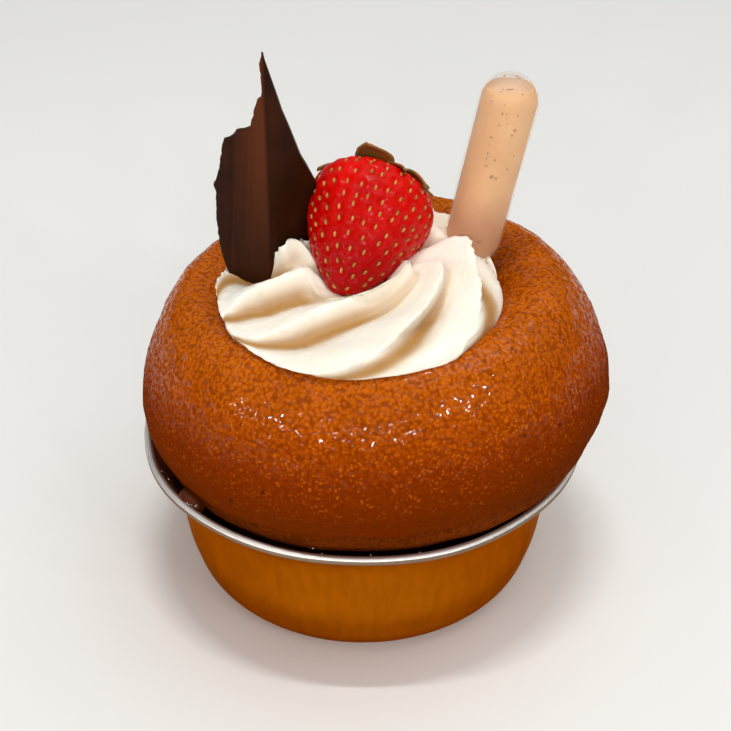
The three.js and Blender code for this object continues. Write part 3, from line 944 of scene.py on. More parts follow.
# ---------------------------------------------------------------- cake
@dataclass
class Cake:
    """The soaked ring cake: a full dome over a darker foot, with a well on top."""

    radius: float = 50.1 * MM
    widest_height: float = 8 * MM
    edge_radius: float = 49.2 * MM
    edge_height: float = 4.2 * MM
    crest_radius: float = 36.5 * MM
    crest_height: float = 33.6 * MM
    fullness: float = 1.63
    well_radius: float = 16 * MM
    well_height: float = 21.5 * MM
    belly: float = 9.4 * MM
    centre: Vector = Vector((3.24, 1.68, 37.4)) * MM
    lean: float = -0.065
    steps: int = 540
    side_steps: int = 110
    foot_top: float = 2.7 * MM
    # size and depth of the crust's lumps: the small ones fade down the sides
    broad_lumps: Span = (7 * MM, 0.22 * MM)
    small_lumps: Span = (2.6 * MM, 0.15 * MM)
    fine_lumps: Span = (1.3 * MM, 0.1 * MM)
    drawn_in: float = 0.22 * MM

    def crust(self) -> CrustFinish:
        """Gives the dome's finish."""
        # the fourth tone, low, is painted shade on the lower sides; the third, glow, is also painted light on
        # top
        tones = (srgb(158, 56, 1), srgb(110, 37, 0), srgb(200, 100, 10), srgb(104, 39, 0), srgb(66, 24, 4))
        return CrustFinish("syrup_crust", *tones, self.centre, self.lean)

    def foot(self) -> CrustFinish:
        """Gives the darker foot's finish."""
        tones = (srgb(136, 60, 10), srgb(74, 28, 3), srgb(140, 68, 16), srgb(120, 50, 8), srgb(40, 14, 3))
        return CrustFinish("dark_foot", *tones, self.centre, self.lean, gloss=0.5)

    def place(self) -> Matrix:
        """Gives the matrix from the cake's own frame to the model's."""
        return Matrix.Translation(self.centre) @ Matrix.Rotation(self.lean, 4, "Y")

    def outline(self) -> Outline:
        """Gives the section from the underside's middle to the well's.

        Returns:
            Points of radius and height.
        """
        notch = (47.9 * MM, self.edge_height - 1.7 * MM)
        crest, widest = (self.crest_radius, self.crest_height), (self.radius, self.widest_height)
        bowl = [(0, -self.belly), (36 * MM, -self.belly + 2.6 * MM)]
        turn = [(44.8 * MM, -3.4 * MM), (47.5 * MM, -0.4 * MM)]
        under = curve_through([*bowl, *turn, notch], 20)
        edge = [(48.5 * MM, self.edge_height - 1.3 * MM), (self.edge_radius, self.edge_height)]
        lip = curve_through([notch, *edge, widest], 14)
        side = []
        for i in range(1, self.side_steps + 1):
            angle = math.pi / 2 * i / self.side_steps
            out = math.cos(angle) ** (2 / self.fullness)
            over = math.sin(angle) ** (2 / self.fullness)
            radius = self.crest_radius + (self.radius - self.crest_radius) * out
            side.append((radius, self.widest_height + (self.crest_height - self.widest_height) * over))
        shoulder = [(crest[0] - 3 * MM, crest[1] - 0.4 * MM), (crest[0] - 8 * MM, crest[1] - 2.6 * MM)]
        reach, deep = self.well_radius, self.well_height
        wall = [(reach + 6 * MM, deep + 5 * MM), (reach, deep + 0.8 * MM)]
        well = curve_through([crest, *shoulder, *wall, (0, deep)], 26)
        return [*under, *lip[1:], *side, *well[1:]]

    def swell(self, place: Vector) -> Vector:
        """Gives the crust its slow swells and ragged lower edge.

        Args:
            place: A place on the mesh.

        Returns:
            Where it goes.
        """
        turn = math.atan2(place.y, place.x)
        x, y, z = (value / MM for value in place)

        def wave(a: float, b: float, c: float) -> float:
            """Sways slowly with three phases."""
            return math.sin(a) * math.cos(b) + 0.5 * math.sin(2 * a + 2 * c)

        low = 0.28 * wave(2 * turn + 0.6, z / 9, turn) + 0.16 * wave(5 * turn, z / 7 + 1, 3 * turn)
        near_edge = 1 - smoothstep(1, 5, abs(z - 2))
        tears = noise.noise(Vector((x, y, 0)) * 0.55) + 0.6 * noise.noise(Vector((x, y, 7)) * 1.4)
        ragged = near_edge * (0.42 * math.sin(11 * turn + 1) + 0.25 * math.sin(17 * turn) + 0.7 * tears)
        radius = math.hypot(x, y)
        share = (radius + low + 0.35 * ragged) / radius if radius > 30 else 1.0
        lift = 0.6 * ragged + (0.5 * low if radius > 1 else 0)
        return Vector((x * share, y * share, z + lift)) * MM

    def build(self) -> None:
        """Builds and shows the cake."""
        mesh = spun(self.outline(), self.steps)
        for face in mesh.faces:
            face.material_index = int(face.calc_center_median().z < self.foot_top)
        reshape(mesh, self.swell)

        def lumps(place: Vector) -> float:
            """The crust's lumps, drawn in so that they stay inside the solid.

            Args:
                place: A place on the mesh.

            Returns:
                How far it moves out.
            """
            (broad, deep), (small, less), (fine, least) = self.broad_lumps, self.small_lumps, self.fine_lumps
            pebbles = less * lumpy(place, small, (9, 3, 5)) + least * lumpy(place, fine, (4, 7, 2))
            risen = 0.35 + 0.65 * smoothstep(12 * MM, 24 * MM, place.z)
            return deep * lumpy(place, broad) + pebbles * risen - self.drawn_in

        roughen(mesh, lumps)
        bmesh.ops.transform(mesh, matrix=self.place(), verts=mesh.verts)
        show("baba_crust", mesh, [self.crust(), self.foot()], ["baba"])


# ---------------------------------------------------------------- cream
@dataclass
class Cream:
    """The piped rosette: sharp ridges that wind from its outer edge up round the berry."""

    centre: Vector = Vector((-1, -6.6, 0)) * MM
    # the hidden foot's rings as radius and height in millimetres
    foot: Outline = ((13, 61), (24, 64.5))
    dish_radius: float = 5.0
    dish_height: float = 73.2
    dish_turn: float = 14.0
    columns: int = 34
    rows: int = 126
    fray: float = 0.75
    # size and depth of its soft unevenness and of its froth
    swells: Span = (6 * MM, 0.3 * MM)
    froth: Span = (1.2 * MM, 0.15 * MM)
    # each ridge's crest from the outer edge inwards: azimuth in degrees, radius and height in millimetres
    crests: tuple[Track, ...] = (
        (
            (182, 28.2, 70.8), (168, 28.8, 71.6), (160, 27.4, 72.2), (158, 24.5, 73),
            (162, 20, 75), (166, 15.6, 80), (157, 12.4, 80),
        ),
        (
            (199, 28, 70.6), (196, 26.2, 71.8), (194, 23.8, 73.8), (195, 20.3, 75.8),
            (194, 15, 77.1), (190, 11, 77.7), (187, 9, 76.8),
        ),
        (
            (211, 28.8, 70.4), (222, 26.9, 71.6), (229, 22, 73), (236, 15.6, 74.2),
            (254, 10.8, 75.4), (288, 8.8, 76.6), (348, 10.5, 80),
        ),
        (
            (222, 28, 69.6), (237, 29.6, 70.2), (255, 30.8, 71.2), (272, 29.4, 74),
            (292, 24, 76.6), (320, 19.2, 78.4), (353, 15.6, 79.6),
        ),
        (
            (270, 29, 70.4), (286, 30.4, 70.8), (302, 31.9, 72), (314, 31.3, 74.8),
            (333, 26.8, 77.3), (356, 23.5, 78.9), (379, 21.8, 80.2),
        ),
        (
            (328, 27, 69.6), (341, 28, 70.4), (354, 28.6, 71.2), (371, 28.4, 72.2),
            (388, 26.5, 74.4), (406, 24, 77.4), (424, 20.5, 79.6),
        ),
        (
            (375, 28.5, 70.5), (384, 29.5, 72.4), (395, 29.8, 75.2), (408, 28, 78),
            (422, 25, 79.4), (437, 22, 79.8), (452, 18.5, 79),
        ),
        (
            (415, 28.5, 71), (423, 29, 74), (433, 28, 77), (444, 25.5, 79),
            (456, 22.5, 79.6), (468, 19.5, 79.4), (478, 16, 78.5),
        ),
        (
            (455, 28.5, 71.5), (463, 28.5, 74), (472, 26.5, 76.5), (482, 23.5, 78),
            (490, 20, 79), (494, 16.5, 79), (496, 13, 78),
        ),
        (
            (505, 28, 71.5), (506, 26.5, 74), (508, 23.5, 76), (509, 20, 77.4),
            (508, 16.5, 78.4), (506, 13.5, 79), (502, 10.5, 78.6),
        ),
    )
    # height between two crests, and how far the valleys sink along them
    profile: Outline = (
        (0, 1), (0.08, 0.5), (0.2, 0.03), (0.3, 0.02), (0.45, 0.22), (0.65, 0.55), (0.85, 0.86), (1, 1),
    )
    sinking: Outline = ((0, 0), (0.2, 0.5), (0.33, 1.6), (0.5, 4), (0.78, 5), (0.9, 3.6), (1, 0))
    # how much painted shade the cream gets between two crests, and along them
    shade_across: Outline = (
        (0, 0), (0.06, 0.3), (0.14, 0.8), (0.24, 1), (0.34, 0.85), (0.44, 0.35), (0.6, 0.05), (1, 0),
    )
    shade_along: Outline = ((0.08, 0), (0.24, 1), (0.7, 1), (0.9, 0.4), (1, 0.2))

    # the third colour is painted shade for the valleys
    finish = CreamFinish("whipped_cream", srgb(255, 250, 238), srgb(254, 245, 222), srgb(178, 132, 72))

    def track(self, index: int) -> list[Vector]:
        """Gives one crest's whole course, from the hidden foot to the dish under the berry.

        Args:
            index: The crest's number. Numbers past the last go round again.

        Returns:
            Its corners as azimuth, radius and height.
        """
        lap, number = divmod(index, len(self.crests))
        crest = self.crests[number]
        foot = [(crest[0][0], radius, height) for radius, height in self.foot]
        dish = (crest[-1][0] + self.dish_turn, self.dish_radius, self.dish_height)
        return [Vector((turn + 360 * lap, radius, height)) for turn, radius, height in (*foot, *crest, dish)]

    def wind(self, place: Vector) -> tuple[Vector, float]:
        """Winds a plain spun drum into the rosette.

        Args:
            place: A point of the drum, whose height runs from 0 at the foot to 1 at the dish.

        Returns:
            The point on the rosette, and how much painted shade it gets from 0 to 1.
        """
        if place.z < 0 or place.z > 1:
            return Vector((0, 0, self.foot[0][1] if place.z < 0 else self.dish_height - 0.6)) * MM, 0.0
        position = math.atan2(place.y, place.x) / math.tau % 1 * len(self.crests)
        ridge = int(position + 1e-6)
        share = max(position - ridge, 0.0)
        here, there = (curve_at(self.track(ridge + step), place.z) for step in (0, 1))
        turn, radius, height = here.lerp(there, share)
        sink = line_value(self.sinking, place.z) * (1 - line_value(self.profile, share))
        sink *= 1 - 0.75 * smoothstep(22, 30, radius)
        rim = math.exp(-((min(share, 1 - share) / 0.05) ** 2)) * smoothstep(0.1, 0.3, place.z)
        angle = math.radians(turn)
        spot = polar(radius, angle, height)
        tear = self.fray * rim * (noise.noise(spot * 0.75) + 0.5 * noise.noise(spot * 1.9))
        reach = radius - 0.7 * sink * smoothstep(12, 28, radius) + tear
        low = height - 0.9 * sink + 0.6 * tear
        # painted shade between the crests
        painted_crease_shade = line_value(self.shade_across, share) * line_value(self.shade_along, place.z)
        return polar(reach, angle, low) * MM, painted_crease_shade

    def build(self) -> None:
        """Builds and shows the cream."""
        side = [(1.0, i / self.rows) for i in range(self.rows + 1)]
        mesh = spun([(0, -0.1), *side, (0, 1.1)], self.columns * len(self.crests))
        fold = mesh.verts.layers.float.new(PAINTED_SHADE_ATTRIBUTE)
        # each vertex keeps its painted shade in the attribute
        for vert in mesh.verts:
            vert.co, vert[fold] = self.wind(vert.co)
        axes = {"use_axis_x": True, "use_axis_y": True, "use_axis_z": True}
        bmesh.ops.smooth_vert(mesh, verts=mesh.verts, factor=0.25, **axes)
        bmesh.ops.translate(mesh, vec=self.centre, verts=mesh.verts)

        def uneven(place: Vector) -> float:
            """Soft unevenness of whipped cream."""
            (broad, deep), (fine, least) = self.swells, self.froth
            return deep * lumpy(place, broad, (2, 8, 1)) + least * lumpy(place, fine)

        roughen(mesh, uneven)
        show("cream_rosette", mesh, [self.finish], ["cream"])


# ---------------------------------------------------------------- strawberry
@dataclass
class Strawberry:
    """The whole berry with its seeds and its dry leaves."""

    radius: float = 12.6 * MM
    length: float = 27.3 * MM
    tip: Vector = Vector((-4.3, -11.9, 74.1)) * MM
    towards_stalk: Vector = Vector((0.277, 0.847, 0.452))
    seed_spacing: float = 3.1 * MM
    seed_size: Vector = Vector((0.42, 0.28, 0.62)) * MM
    pit_radius: float = 1.0 * MM
    pit_depth: float = 0.46 * MM
    leaf_thickness: float = 0.45 * MM
    # direction in degrees, length, width and lift of the tip in millimetres
    leaves: tuple[LeafSizes, ...] = (
        (86, 11.5, 8.4, 2.9), (127, 11.8, 4.6, 0.9), (32, 12.4, 4.6, 0.6), (-4, 13.4, 4.2, 1.4),
        (158, 12.2, 5.2, 1), (183, 10.8, 3.6, 1.6), (-52, 8.2, 4.4, 0.8), (-118, 8, 5, 1),
    )
    # the collar and stub of stalk as radius and height in millimetres
    stub: Outline = ((0, 0.3), (2.3, 0.4), (2.2, 1.2), (1, 2), (0.85, 3.3), (0, 3.5))

    seed_finish = DryFinish("straw_seeds", srgb(206, 150, 70), srgb(150, 100, 34), 1.5 * MM)
    leaf_finish = DryFinish("dry_leaves", srgb(156, 92, 34), srgb(112, 96, 36), 3 * MM, 0.5)

    def skin_finish(self) -> BerryFinish:
        """Gives the skin's finish."""
        tones = (srgb(230, 14, 3), srgb(168, 1, 0))
        return BerryFinish("berry_skin", *tones, self.tip, self.towards_stalk.normalized(), self.length)

    def place(self) -> Matrix:
        """Gives the matrix from the berry's own frame, with its tip at the origin."""
        return frame_along(self.tip, self.towards_stalk)

    def outline(self, count: int) -> Outline:
        """Gives the section from the tip to the shoulder's middle.

        Args:
            count: The number of stretches.

        Returns:
            The section's points.
        """
        shares = (
            (0, 0), (0.2, 0.025), (0.56, 0.22), (0.78, 0.42), (0.94, 0.6),
            (1, 0.75), (0.96, 0.87), (0.8, 0.96), (0.5, 1), (0, 0.98),
        )
        return curve_through([(r * self.radius, h * self.length) for r, h in shares], count)

    def bulge(self, place: Vector) -> Vector:
        """Makes the berry a little out of round.

        Args:
            place: A place on the mesh.

        Returns:
            Where it goes.
        """
        turn = math.atan2(place.y, place.x)
        share = 1 + 0.025 * math.sin(2 * turn + 0.8) + 0.015 * math.sin(3 * turn + place.z / (6 * MM))
        return Vector((place.x * share, place.y * share, place.z))

    def seed_places(self) -> list[tuple[Vector, Vector]]:
        """Spreads the seeds in staggered rings.

        Returns:
            Each seed's point and the direction of the skin towards the stalk there.
        """
        chance = random.Random(7)
        section = self.outline(60)
        places = []
        travelled, row, due = 0.0, 0, 1.6 * MM
        for (r0, h0), (r1, h1) in zip(section, section[1:]):
            travelled += math.hypot(r1 - r0, h1 - h0)
            if travelled < due or h1 > 0.985 * self.length:
                continue
            due += 0.86 * self.seed_spacing
            row += 1
            ring = max(round(math.tau * r1 / self.seed_spacing), 3)
            for i in range(ring):
                turn = math.tau * (i + 0.5 * (row % 2) + 0.22 * chance.uniform(-1, 1)) / ring
                lift = 0.12 * self.seed_spacing * chance.uniform(-1, 1)
                along = polar(r1 - r0, turn, h1 - h0).normalized()
                places.append((self.bulge(polar(r1, turn, h1) + along * lift), along))
        return places

    def build_skin(self, seeds: list[tuple[Vector, Vector]]) -> None:
        """Builds and shows the skin, pitted round its seeds.

        Args:
            seeds: The seeds' places and the ways they point.
        """
        mesh = spun(self.outline(150), 200)
        reshape(mesh, self.bulge)
        near = KDTree(len(seeds))
        for index, (point, _) in enumerate(seeds):
            near.insert(point, index)
        near.balance()

        def pits(place: Vector) -> float:
            """Sinks the skin round each seed and swells it between them.

            Args:
                place: A place on the mesh.

            Returns:
                How far it moves out.
            """
            distance = near.find(place)[2] / self.pit_radius
            ring = 0.4 * math.exp(-((distance - 1.45) ** 2) * 5)
            return self.pit_depth * (ring - math.exp(-distance * distance))

        roughen(mesh, pits)
        bmesh.ops.transform(mesh, matrix=self.place(), verts=mesh.verts)
        show("strawberry_skin", mesh, [self.skin_finish()], ["strawberry"])

    def build_seeds(self, seeds: list[tuple[Vector, Vector]]) -> None:
        """Builds and shows all seeds as one piece.

        Args:
            seeds: The seeds' places and the ways they point.
        """
        mesh = bmesh.new()
        for point, along in seeds:
            outward = Vector((point.x, point.y, 0)).normalized()
            across = along.cross(outward).normalized()
            normal = across.cross(along).normalized()
            turn = Matrix((normal, across, along)).transposed().to_4x4()
            sunk = point - normal * (self.pit_depth * 0.9)
            ball(mesh, self.place() @ Matrix.Translation(sunk) @ turn, self.seed_size)
        show("strawberry_seeds", mesh, [self.seed_finish])

    def leaf(self, sizes: LeafSizes, index: int) -> Mesh:
        """Shapes one leaf in the calyx's frame.

        Args:
            sizes: The leaf's direction, length, width and lift.
            index: Its number, which varies its waves.

        Returns:
            The leaf as a closed sheet.
        """
        direction, length, width, lift = sizes
        mesh = bmesh.new()
        bmesh.ops.create_grid(mesh, x_segments=24, y_segments=10, size=1)
        turn = Matrix.Rotation(math.radians(direction), 3, "Z")

        def form(place: Vector) -> Vector:
            """Curves the flat grid over the berry's shoulder.

            Args:
                place: A place on the mesh.

            Returns:
                Where it goes.
            """
            share, side = (place.x + 1) / 2, place.y
            out = 0.8 + length * share
            saw = 0.06 * math.sin(26 * share + index) * abs(side)
            half = 0.5 * width * math.sin(math.pi * min(0.16 + 0.82 * share, 0.985)) ** 0.75 + saw
            shoulder = 0.7 - 0.1 * max(out - 6, 0) ** 2
            wavy = lift * share**2 * (0.6 + 0.9 * share) + 0.3 * math.sin(5 * share + index)
            rib = 0.5 * abs(side) * (1 - share) + 0.18 * math.sin(9 * share + 3 * side + index)
            return turn @ (Vector((out, side * half, shoulder + wavy + rib)) * MM)

        reshape(mesh, form)
        bmesh.ops.recalc_face_normals(mesh, faces=mesh.faces)
        bmesh.ops.solidify(mesh, geom=mesh.faces[:], thickness=self.leaf_thickness)
        return mesh

    def build_leaves(self) -> None:
        """Builds and shows the leaves with their collar and stub of stalk."""
        place = self.place() @ Matrix.Translation((0, 0, self.length))
        stub = curve_through([(radius * MM, height * MM) for radius, height in self.stub], 24)
        mesh = bmesh.new()
        join_into(mesh, spun(stub, 24), place)
        for index, sizes in enumerate(self.leaves):
            join_into(mesh, self.leaf(sizes, index), place)
        show("strawberry_leaves", mesh, [self.leaf_finish], ["calyx"])

    def build(self) -> None:
        """Builds the whole berry."""
        seeds = self.seed_places()
        self.build_skin(seeds)
        self.build_seeds(seeds)
        self.build_leaves()


# ---------------------------------------------------------------- chocolate shard
@dataclass
class ChocolateShard:
    """A torn shard of chocolate, folded along its height."""

    foot: Vector = Vector((-19.2, -2.8, 62)) * MM
    thickness: float = 1.3 * MM
    left_fold: float = 0.34
    right_fold: float = 0.6
    # height over the foot and reach from the fold, in millimetres
    left: Outline = (
        (0, 5), (7, 7.2), (9.7, 8.5), (12.3, 9.4), (15.3, 10.1), (21.4, 10.6), (27.9, 10.4), (29.1, 10.9),
        (30, 10.3), (32.4, 9.6), (35.6, 9), (37.8, 8.7), (39.2, 8.2), (39.6, 7.1), (40.5, 6.3), (41.6, 5.5),
        (41.9, 4.2), (42.5, 3), (44.4, 2.4), (46.9, 1.8), (48.4, 1.3), (49.1, 0.6), (50.5, 0.35), (53.1, 0.5),
        (55.6, 0.7), (57.6, 0.3), (58.2, 0.1),
    )
    right: Outline = (
        (0, 6), (9, 8.4), (17, 9.3), (23, 9.6), (28, 9.5), (29.3, 9), (32.4, 7.8), (35.4, 6.5), (41.3, 4.7),
        (45.8, 3.2), (50.5, 2), (54.7, 0.9), (57, 0.3), (58.2, 0.1),
    )

    # scraped grooves on the left side: reach from the fold and depth in millimetres
    grooves: tuple[float, ...] = (4.6, 5.9, 8.6)
    groove_depth: float = 0.3

    # the third tone is the painted sheen beside the fold
    tones = (srgb(42, 18, 7), srgb(62, 29, 13), srgb(90, 44, 20))

    def form(self, place: Vector) -> Vector:
        """Bends a flat sheet, one unit thick, into the folded shard.

        Args:
            place: A place on the mesh.

        Returns:
            Where it goes.
        """
        across, share = place.x, (place.y + 1) / 2
        height = self.left[-1][0] * share
        side = 1 if across > 0 else -1
        torn = 0.25 * noise.noise(Vector((side * 3, height * 0.9, 0))) * min(height / 30, 1)
        reach = line_value(self.right if side > 0 else self.left, height) + torn * (side < 0)
        x = across * max(reach, 0.08)
        fold = self.right_fold if side > 0 else self.left_fold
        rounded = math.sqrt(x * x + 0.15) - math.sqrt(0.15)
        back = fold * rounded * (1 + 0.025 * abs(x))
        grooves = sum(math.exp(-((x + start - 0.06 * height) ** 2) * 6) for start in self.grooves)
        scraped = self.groove_depth * grooves * smoothstep(4, 20, height) if side < 0 else 0
        thin = 0.2 + 0.8 * smoothstep(self.left[-1][0], 46, height)
        depth = -place.z * thin * self.thickness / MM
        return self.foot + Vector((x + 0.7 * share, back + scraped + depth, height)) * MM

    def build(self) -> None:
        """Builds and shows the shard."""
        mesh = bmesh.new()
        bmesh.ops.create_grid(mesh, x_segments=64, y_segments=180, size=1)
        bmesh.ops.solidify(mesh, geom=mesh.faces[:], thickness=1)
        reshape(mesh, self.form)
        bmesh.ops.recalc_face_normals(mesh, faces=mesh.faces)
        finish = ChocolateFinish("dark_chocolate", *self.tones, self.foot)
        show("chocolate_sheet", mesh, [finish], ["chocolate_shard"])


# ---------------------------------------------------------------- pipette
@dataclass
class Pipette:
    """The squeeze bulb of rum with its stem in the cake."""

    radius: float = 6 * MM
    wall: float = 0.6 * MM
    top: Vector = Vector((28.81, 8, 105.97)) * MM
    bottom: Vector = Vector((22.96, 8, 76.22)) * MM
    stem_radius: float = 2.2 * MM
    stem_length: float = 19 * MM
    bore: float = 0.9 * MM
    air_gap: float = 2.2 * MM

    # height up the bulb in millimetres, turn from its front in degrees and radius in millimetres
    bubbles: Track = (
        (28.2, -51, 0.15), (31.6, -18, 0.17), (29.7, -17, 0.23), (29.9, -8, 0.17), (29.1, -7, 0.13),
        (30, 14, 0.19), (27.3, -18, 0.21), (28, -3, 0.15), (28.2, 10, 0.13), (25.8, 13, 0.34),
        (26.8, 16, 0.38), (24.4, -28, 0.25), (24.4, -24, 0.15), (22.9, -27, 0.17), (21, -25, 0.21),
        (19.8, -25, 0.19), (18.4, -21, 0.25), (20, -7, 0.25), (23.9, -6, 0.13), (21.4, 30, 0.19),
        (18.4, 23, 0.21), (19.6, 13, 0.13), (16.4, -5, 0.42), (16.2, 4, 0.29), (17, 17, 0.13),
        (14, 16, 0.15), (12.5, -22, 0.13), (31.3, -46, 0.17), (13.7, -85, 0.15), (1.9, 5, 0.46),
        (3.7, -37, 0.17), (5.5, -46, 0.17), (6.6, 11, 0.15), (1.7, -5, 0.15), (34.2, -18, 0.25),
        (34.4, -11, 0.21), (34.1, -24, 0.17), (33.8, 19, 0.21), (33.9, -35, 0.17), (33.4, -37, 0.15),
    )

    plastic = ClearFinish("clear_plastic", srgb(255, 252, 248), srgb(252, 246, 240), 0.5, 0.12, 1.3, 0.2)
    # the centre of the rum's painted shade, low in the bulb
    painted_shade_centre: Vector = Vector((24, 2.4, 79)) * MM
    # painted shade: the bubbles are darker than the rum to show the shade round their edges
    froth = ClearFinish("rum_bubbles", srgb(212, 160, 114), srgb(190, 136, 94), 0.2, 0.1, 1.4)

    def place(self) -> Matrix:
        """Gives the matrix from the bulb's own frame, with its lower dome's centre at the origin."""
        return frame_along(self.bottom, self.top - self.bottom)

    def bulb(self, radius: float, neck: float) -> Outline:
        """Gives a dome-ended tube's section from its neck to its top.

        Args:
            radius: The tube's radius.
            neck: Its neck's radius.

        Returns:
            Points of radius and height.
        """
        length = (self.top - self.bottom).length
        start = -math.degrees(math.acos(min(neck / radius, 1)))
        crown = arc((0, length), radius, 0, 90, 16)
        crown[-1] = (0.0, crown[-1][1])
        side = [(radius, length * i / 12) for i in range(1, 12)]
        return [*arc((0, 0), radius, start, 0, 14), *side, *crown]

    def build_shell(self) -> None:
        """Builds and shows the hollow plastic, open at the stem's tip."""
        tip = -self.stem_length
        stem = [(self.stem_radius * 0.75, tip), (self.stem_radius, tip + 6 * MM)]
        inner = list(reversed(self.bulb(self.radius - self.wall, self.bore)))
        mouth = [(self.bore, tip), (self.stem_radius * 0.75, tip)]
        mesh = spun([*stem, *self.bulb(self.radius, self.stem_radius), *inner, *mouth], 96)
        bmesh.ops.transform(mesh, matrix=self.place(), verts=mesh.verts)
        show("pipette_shell", mesh, [self.plastic], ["pipette"])

    def build_rum(self) -> None:
        """Builds and shows the rum, which reaches just into the wall and has a level top."""
        radius = self.radius - 0.6 * self.wall
        mesh = spun([(0, -radius), *self.bulb(radius, 0.2 * MM)], 96)
        bmesh.ops.transform(mesh, matrix=self.place(), verts=mesh.verts)
        level = self.top.z + self.radius - self.wall - self.air_gap
        whole = mesh.verts[:] + mesh.edges[:] + mesh.faces[:]
        plane = {"plane_co": (0, 0, level), "plane_no": (0, 0, 1), "clear_outer": True}
        parts = bmesh.ops.bisect_plane(mesh, geom=whole, **plane)
        rim = [item for item in parts["geom_cut"] if isinstance(item, bmesh.types.BMEdge)]
        bmesh.ops.contextual_create(mesh, geom=rim)
        tones = (srgb(244, 190, 132), srgb(234, 176, 118))
        # the rum darkens round its lower end: painted shade
        rum = ClearFinish("pale_rum", *tones, 0.05, 0.4, 1.36, painted_shade_centre=self.painted_shade_centre, painted_shade_tone=srgb(206, 142, 96))
        show("rum_fill", mesh, [rum], ["rum"])

    def build_bubbles(self) -> None:
        """Builds and shows the air bubbles that cling to the plastic, those seen and as many at the back."""
        skin = self.radius - 0.7 * self.wall
        length = (self.top - self.bottom).length
        mesh = bmesh.new()
        for height, turn, size in self.bubbles:
            over = max(height * MM - length, 0.0)
            ring = math.sqrt(skin**2 - over**2)
            for side in (180, 0):
                spot = polar(ring, math.radians(turn + side), height * MM)
                ball(mesh, self.place() @ Matrix.Translation(spot), [size * MM] * 3)
        show("rum_bubbles", mesh, [self.froth])

    def build(self) -> None:
        """Builds the pipette, its rum and its bubbles."""
        self.build_shell()
        self.build_rum()
        self.build_bubbles()


# ---------------------------------------------------------------- syrup
@dataclass
class Syrup:
    """The thick drop between the cake's edge and the foil, and small beads along the rim."""

    drop_size: Vector = Vector((7.2, 5, 5)) * MM
    drop_turn: float = -141.0
    drop_ring: float = 44.7 * MM
    drop_height: float = 34.6 * MM
    bead_height: float = 35.0
    # turn in degrees, ring and radius in millimetres of the beads inside the rim, all at one height
    beads: Track = (
        (-135, 43, 0.2), (-132.5, 42.6, 0.14), (-131.6, 42.5, 0.16), (-129.1, 42.2, 0.15),
        (-127, 41.9, 0.18), (-126.1, 41.7, 0.16), (-123.7, 41.8, 0.24), (-119.2, 43.2, 0.22),
        (-114.5, 43.4, 0.2), (-108.8, 43, 0.15), (-107.6, 43, 0.26), (-106.4, 43.4, 0.18),
        (-103.7, 44, 0.2), (-102.6, 44.2, 0.24), (-99.9, 45.5, 0.2), (-97.2, 43.6, 0.2),
        (-152, 45.6, 0.2), (-156, 46, 0.16), (-88, 45.2, 0.16), (-76, 45.8, 0.18),
    )

    finish = ClearFinish("brown_syrup", srgb(124, 58, 20), srgb(84, 34, 8), 0.45, 0.04, 1.4)
    # painted highlight: the syrup beads are near-white to stand for glints
    bright = ClearFinish("syrup_beads_painted_glint", srgb(255, 244, 226), srgb(246, 220, 186), 0.3, 0.1, 1.4)

    def build_beads(self) -> None:
        """Builds and shows the small beads that cling between the cake and the rim, near-white as painted
        glints.
        """
        mesh = bmesh.new()
        for turn, ring, size in self.beads:
            spot = polar(ring, math.radians(turn), self.bead_height) * MM
            ball(mesh, Matrix.Translation(spot), [size * MM] * 3)
        show("syrup_beads", mesh, [self.bright])

    def build(self) -> None:
        """Builds and shows the drop and the beads."""
        self.build_beads()
        turn = math.radians(self.drop_turn)
        spot = polar(self.drop_ring, turn, self.drop_height)
        mesh = bmesh.new()
        place = Matrix.Translation(spot) @ Matrix.Rotation(turn + math.pi / 2, 4, "Z")
        ball(mesh, place, self.drop_size / 2, 4)
        show("syrup_drop", mesh, [self.finish], ["syrup_bead"])


# ---------------------------------------------------------------- studio
@dataclass(frozen=True)
class Lamp:
    """One soft rectangular light that looks at the cake, with its power in watts."""

    name: str
    place: Vector
    size: Span
    power: float
    tint: Colour
    target: Vector = Vector((0, 0, 0.06))

    def hang(self) -> None:
        """Adds the light to the scene."""
        lamp = bpy.data.lights.new(self.name, "AREA")
        lamp.shape, lamp.size, lamp.size_y = "RECTANGLE", *self.size
        lamp.energy, lamp.color = self.power, self.tint
        holder = bpy.data.objects.new(self.name, lamp)
        holder.location = self.place
        holder.rotation_euler = (self.target - self.place).to_track_quat("-Z", "Y").to_euler()
        bpy.context.scene.collection.objects.link(holder)


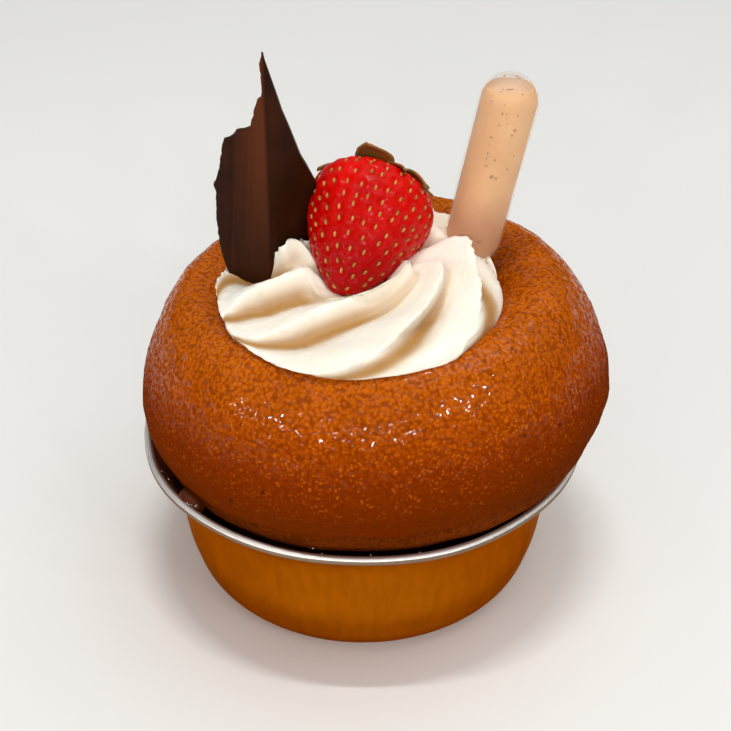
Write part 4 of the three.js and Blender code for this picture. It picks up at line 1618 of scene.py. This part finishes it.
@dataclass
class Studio:
    """The floor, the lights and the camera."""

    camera_place: Vector = Vector((0.56, -250.71, 213.84)) * MM
    camera_pitch: float = 33.31
    lens: float = 68.91
    floor_size: float = 6.0
    # the sky's strength at the horizon and overhead, and the rises where it changes
    sky: Span = (0.099, 0.429)
    sky_rise: Span = (0.15, 0.8)
    soft_lamps: tuple[Lamp, ...] = (
        Lamp("overhead", Vector((0, -0.1, 1.2)), (0.3, 0.03), 4, (1, 0.98, 0.95)),
        Lamp("canopy", Vector((0.7, 0.3, 2)), (2.2, 2.2), 13, (1, 0.99, 0.97)),
    )
    # the small lamps that glint in the syrup, as turn from the front and rise over the floor in degrees
    windows: Outline = (
        (-69, 12), (-64, 17), (-54, 15), (-47, 20), (-38, 22), (-29, 19), (-19, 25), (-11, 21),
        (-3, 28), (4, 23), (10, 32), (17, 27), (30, 36), (38, 31), (45, 27), (53, 31),
    )
    window_reach: float = 1.2
    window_size: Span = (0.04, 0.04)
    window_power: float = 0.5
    window_tint: Colour = (1, 0.97, 0.92)

    floor_finish = FloorFinish("pale_floor", srgb(240, 241, 240))

    def build_floor(self) -> None:
        """Lays the floor."""
        mesh = bmesh.new()
        bmesh.ops.create_grid(mesh, x_segments=1, y_segments=1, size=self.floor_size / 2)
        data = bpy.data.meshes.new("floor")
        mesh.to_mesh(data)
        mesh.free()
        data.materials.append(self.floor_finish.material())
        floor = bpy.data.objects.new("floor", data)
        bpy.context.scene.collection.objects.link(floor)

    def build_lamps(self) -> None:
        """Hangs the soft lamps and the small ones."""
        for lamp in self.soft_lamps:
            lamp.hang()
        for number, (turn, rise) in enumerate(self.windows):
            lifted = Matrix.Rotation(math.radians(-rise), 3, "X") @ Vector((0, -self.window_reach, 0))
            place = Matrix.Rotation(math.radians(turn), 3, "Z") @ lifted
            Lamp(f"window_{number}", place, self.window_size, self.window_power, self.window_tint).hang()

    def build_sky(self) -> None:
        """Lights the world softly, more from overhead than from the horizon."""
        world = bpy.data.worlds.new("studio")
        world.use_nodes = True
        graph = Graph(world.node_tree)
        upward = graph.axis("Z", graph.add("TexCoord").outputs["Generated"])
        strength = graph.ramp(upward, *self.sky_rise, self.sky)
        graph.fill(world.node_tree.nodes["Background"], {"Color": (1, 0.99, 0.975), "Strength": strength})
        bpy.context.scene.world = world
        bpy.context.scene.view_settings.view_transform = "Standard"

    def build_camera(self) -> None:
        """Sets the camera where the photograph was taken from."""
        lens = bpy.data.cameras.new("camera")
        lens.lens, lens.sensor_width = self.lens, 36
        lens.clip_start = 0.01
        camera = bpy.data.objects.new("camera", lens)
        camera.location = self.camera_place
        camera.rotation_euler = (math.radians(90 - self.camera_pitch), 0, 0)
        bpy.context.scene.collection.objects.link(camera)
        bpy.context.scene.camera = camera

    def build(self) -> None:
        """Sets up the whole studio."""
        self.build_floor()
        self.build_lamps()
        self.build_sky()
        self.build_camera()


def main() -> None:
    """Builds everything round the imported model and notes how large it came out."""
    logging.basicConfig(level=logging.INFO, format="%(name)s %(message)s")
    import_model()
    for part in (FoilCup(), Cake(), Cream(), Strawberry(), ChocolateShard(), Pipette(), Syrup(), Studio()):
        part.build()
        LOG.info("%s is done", type(part).__name__)


if __name__ == "__main__":
    main()
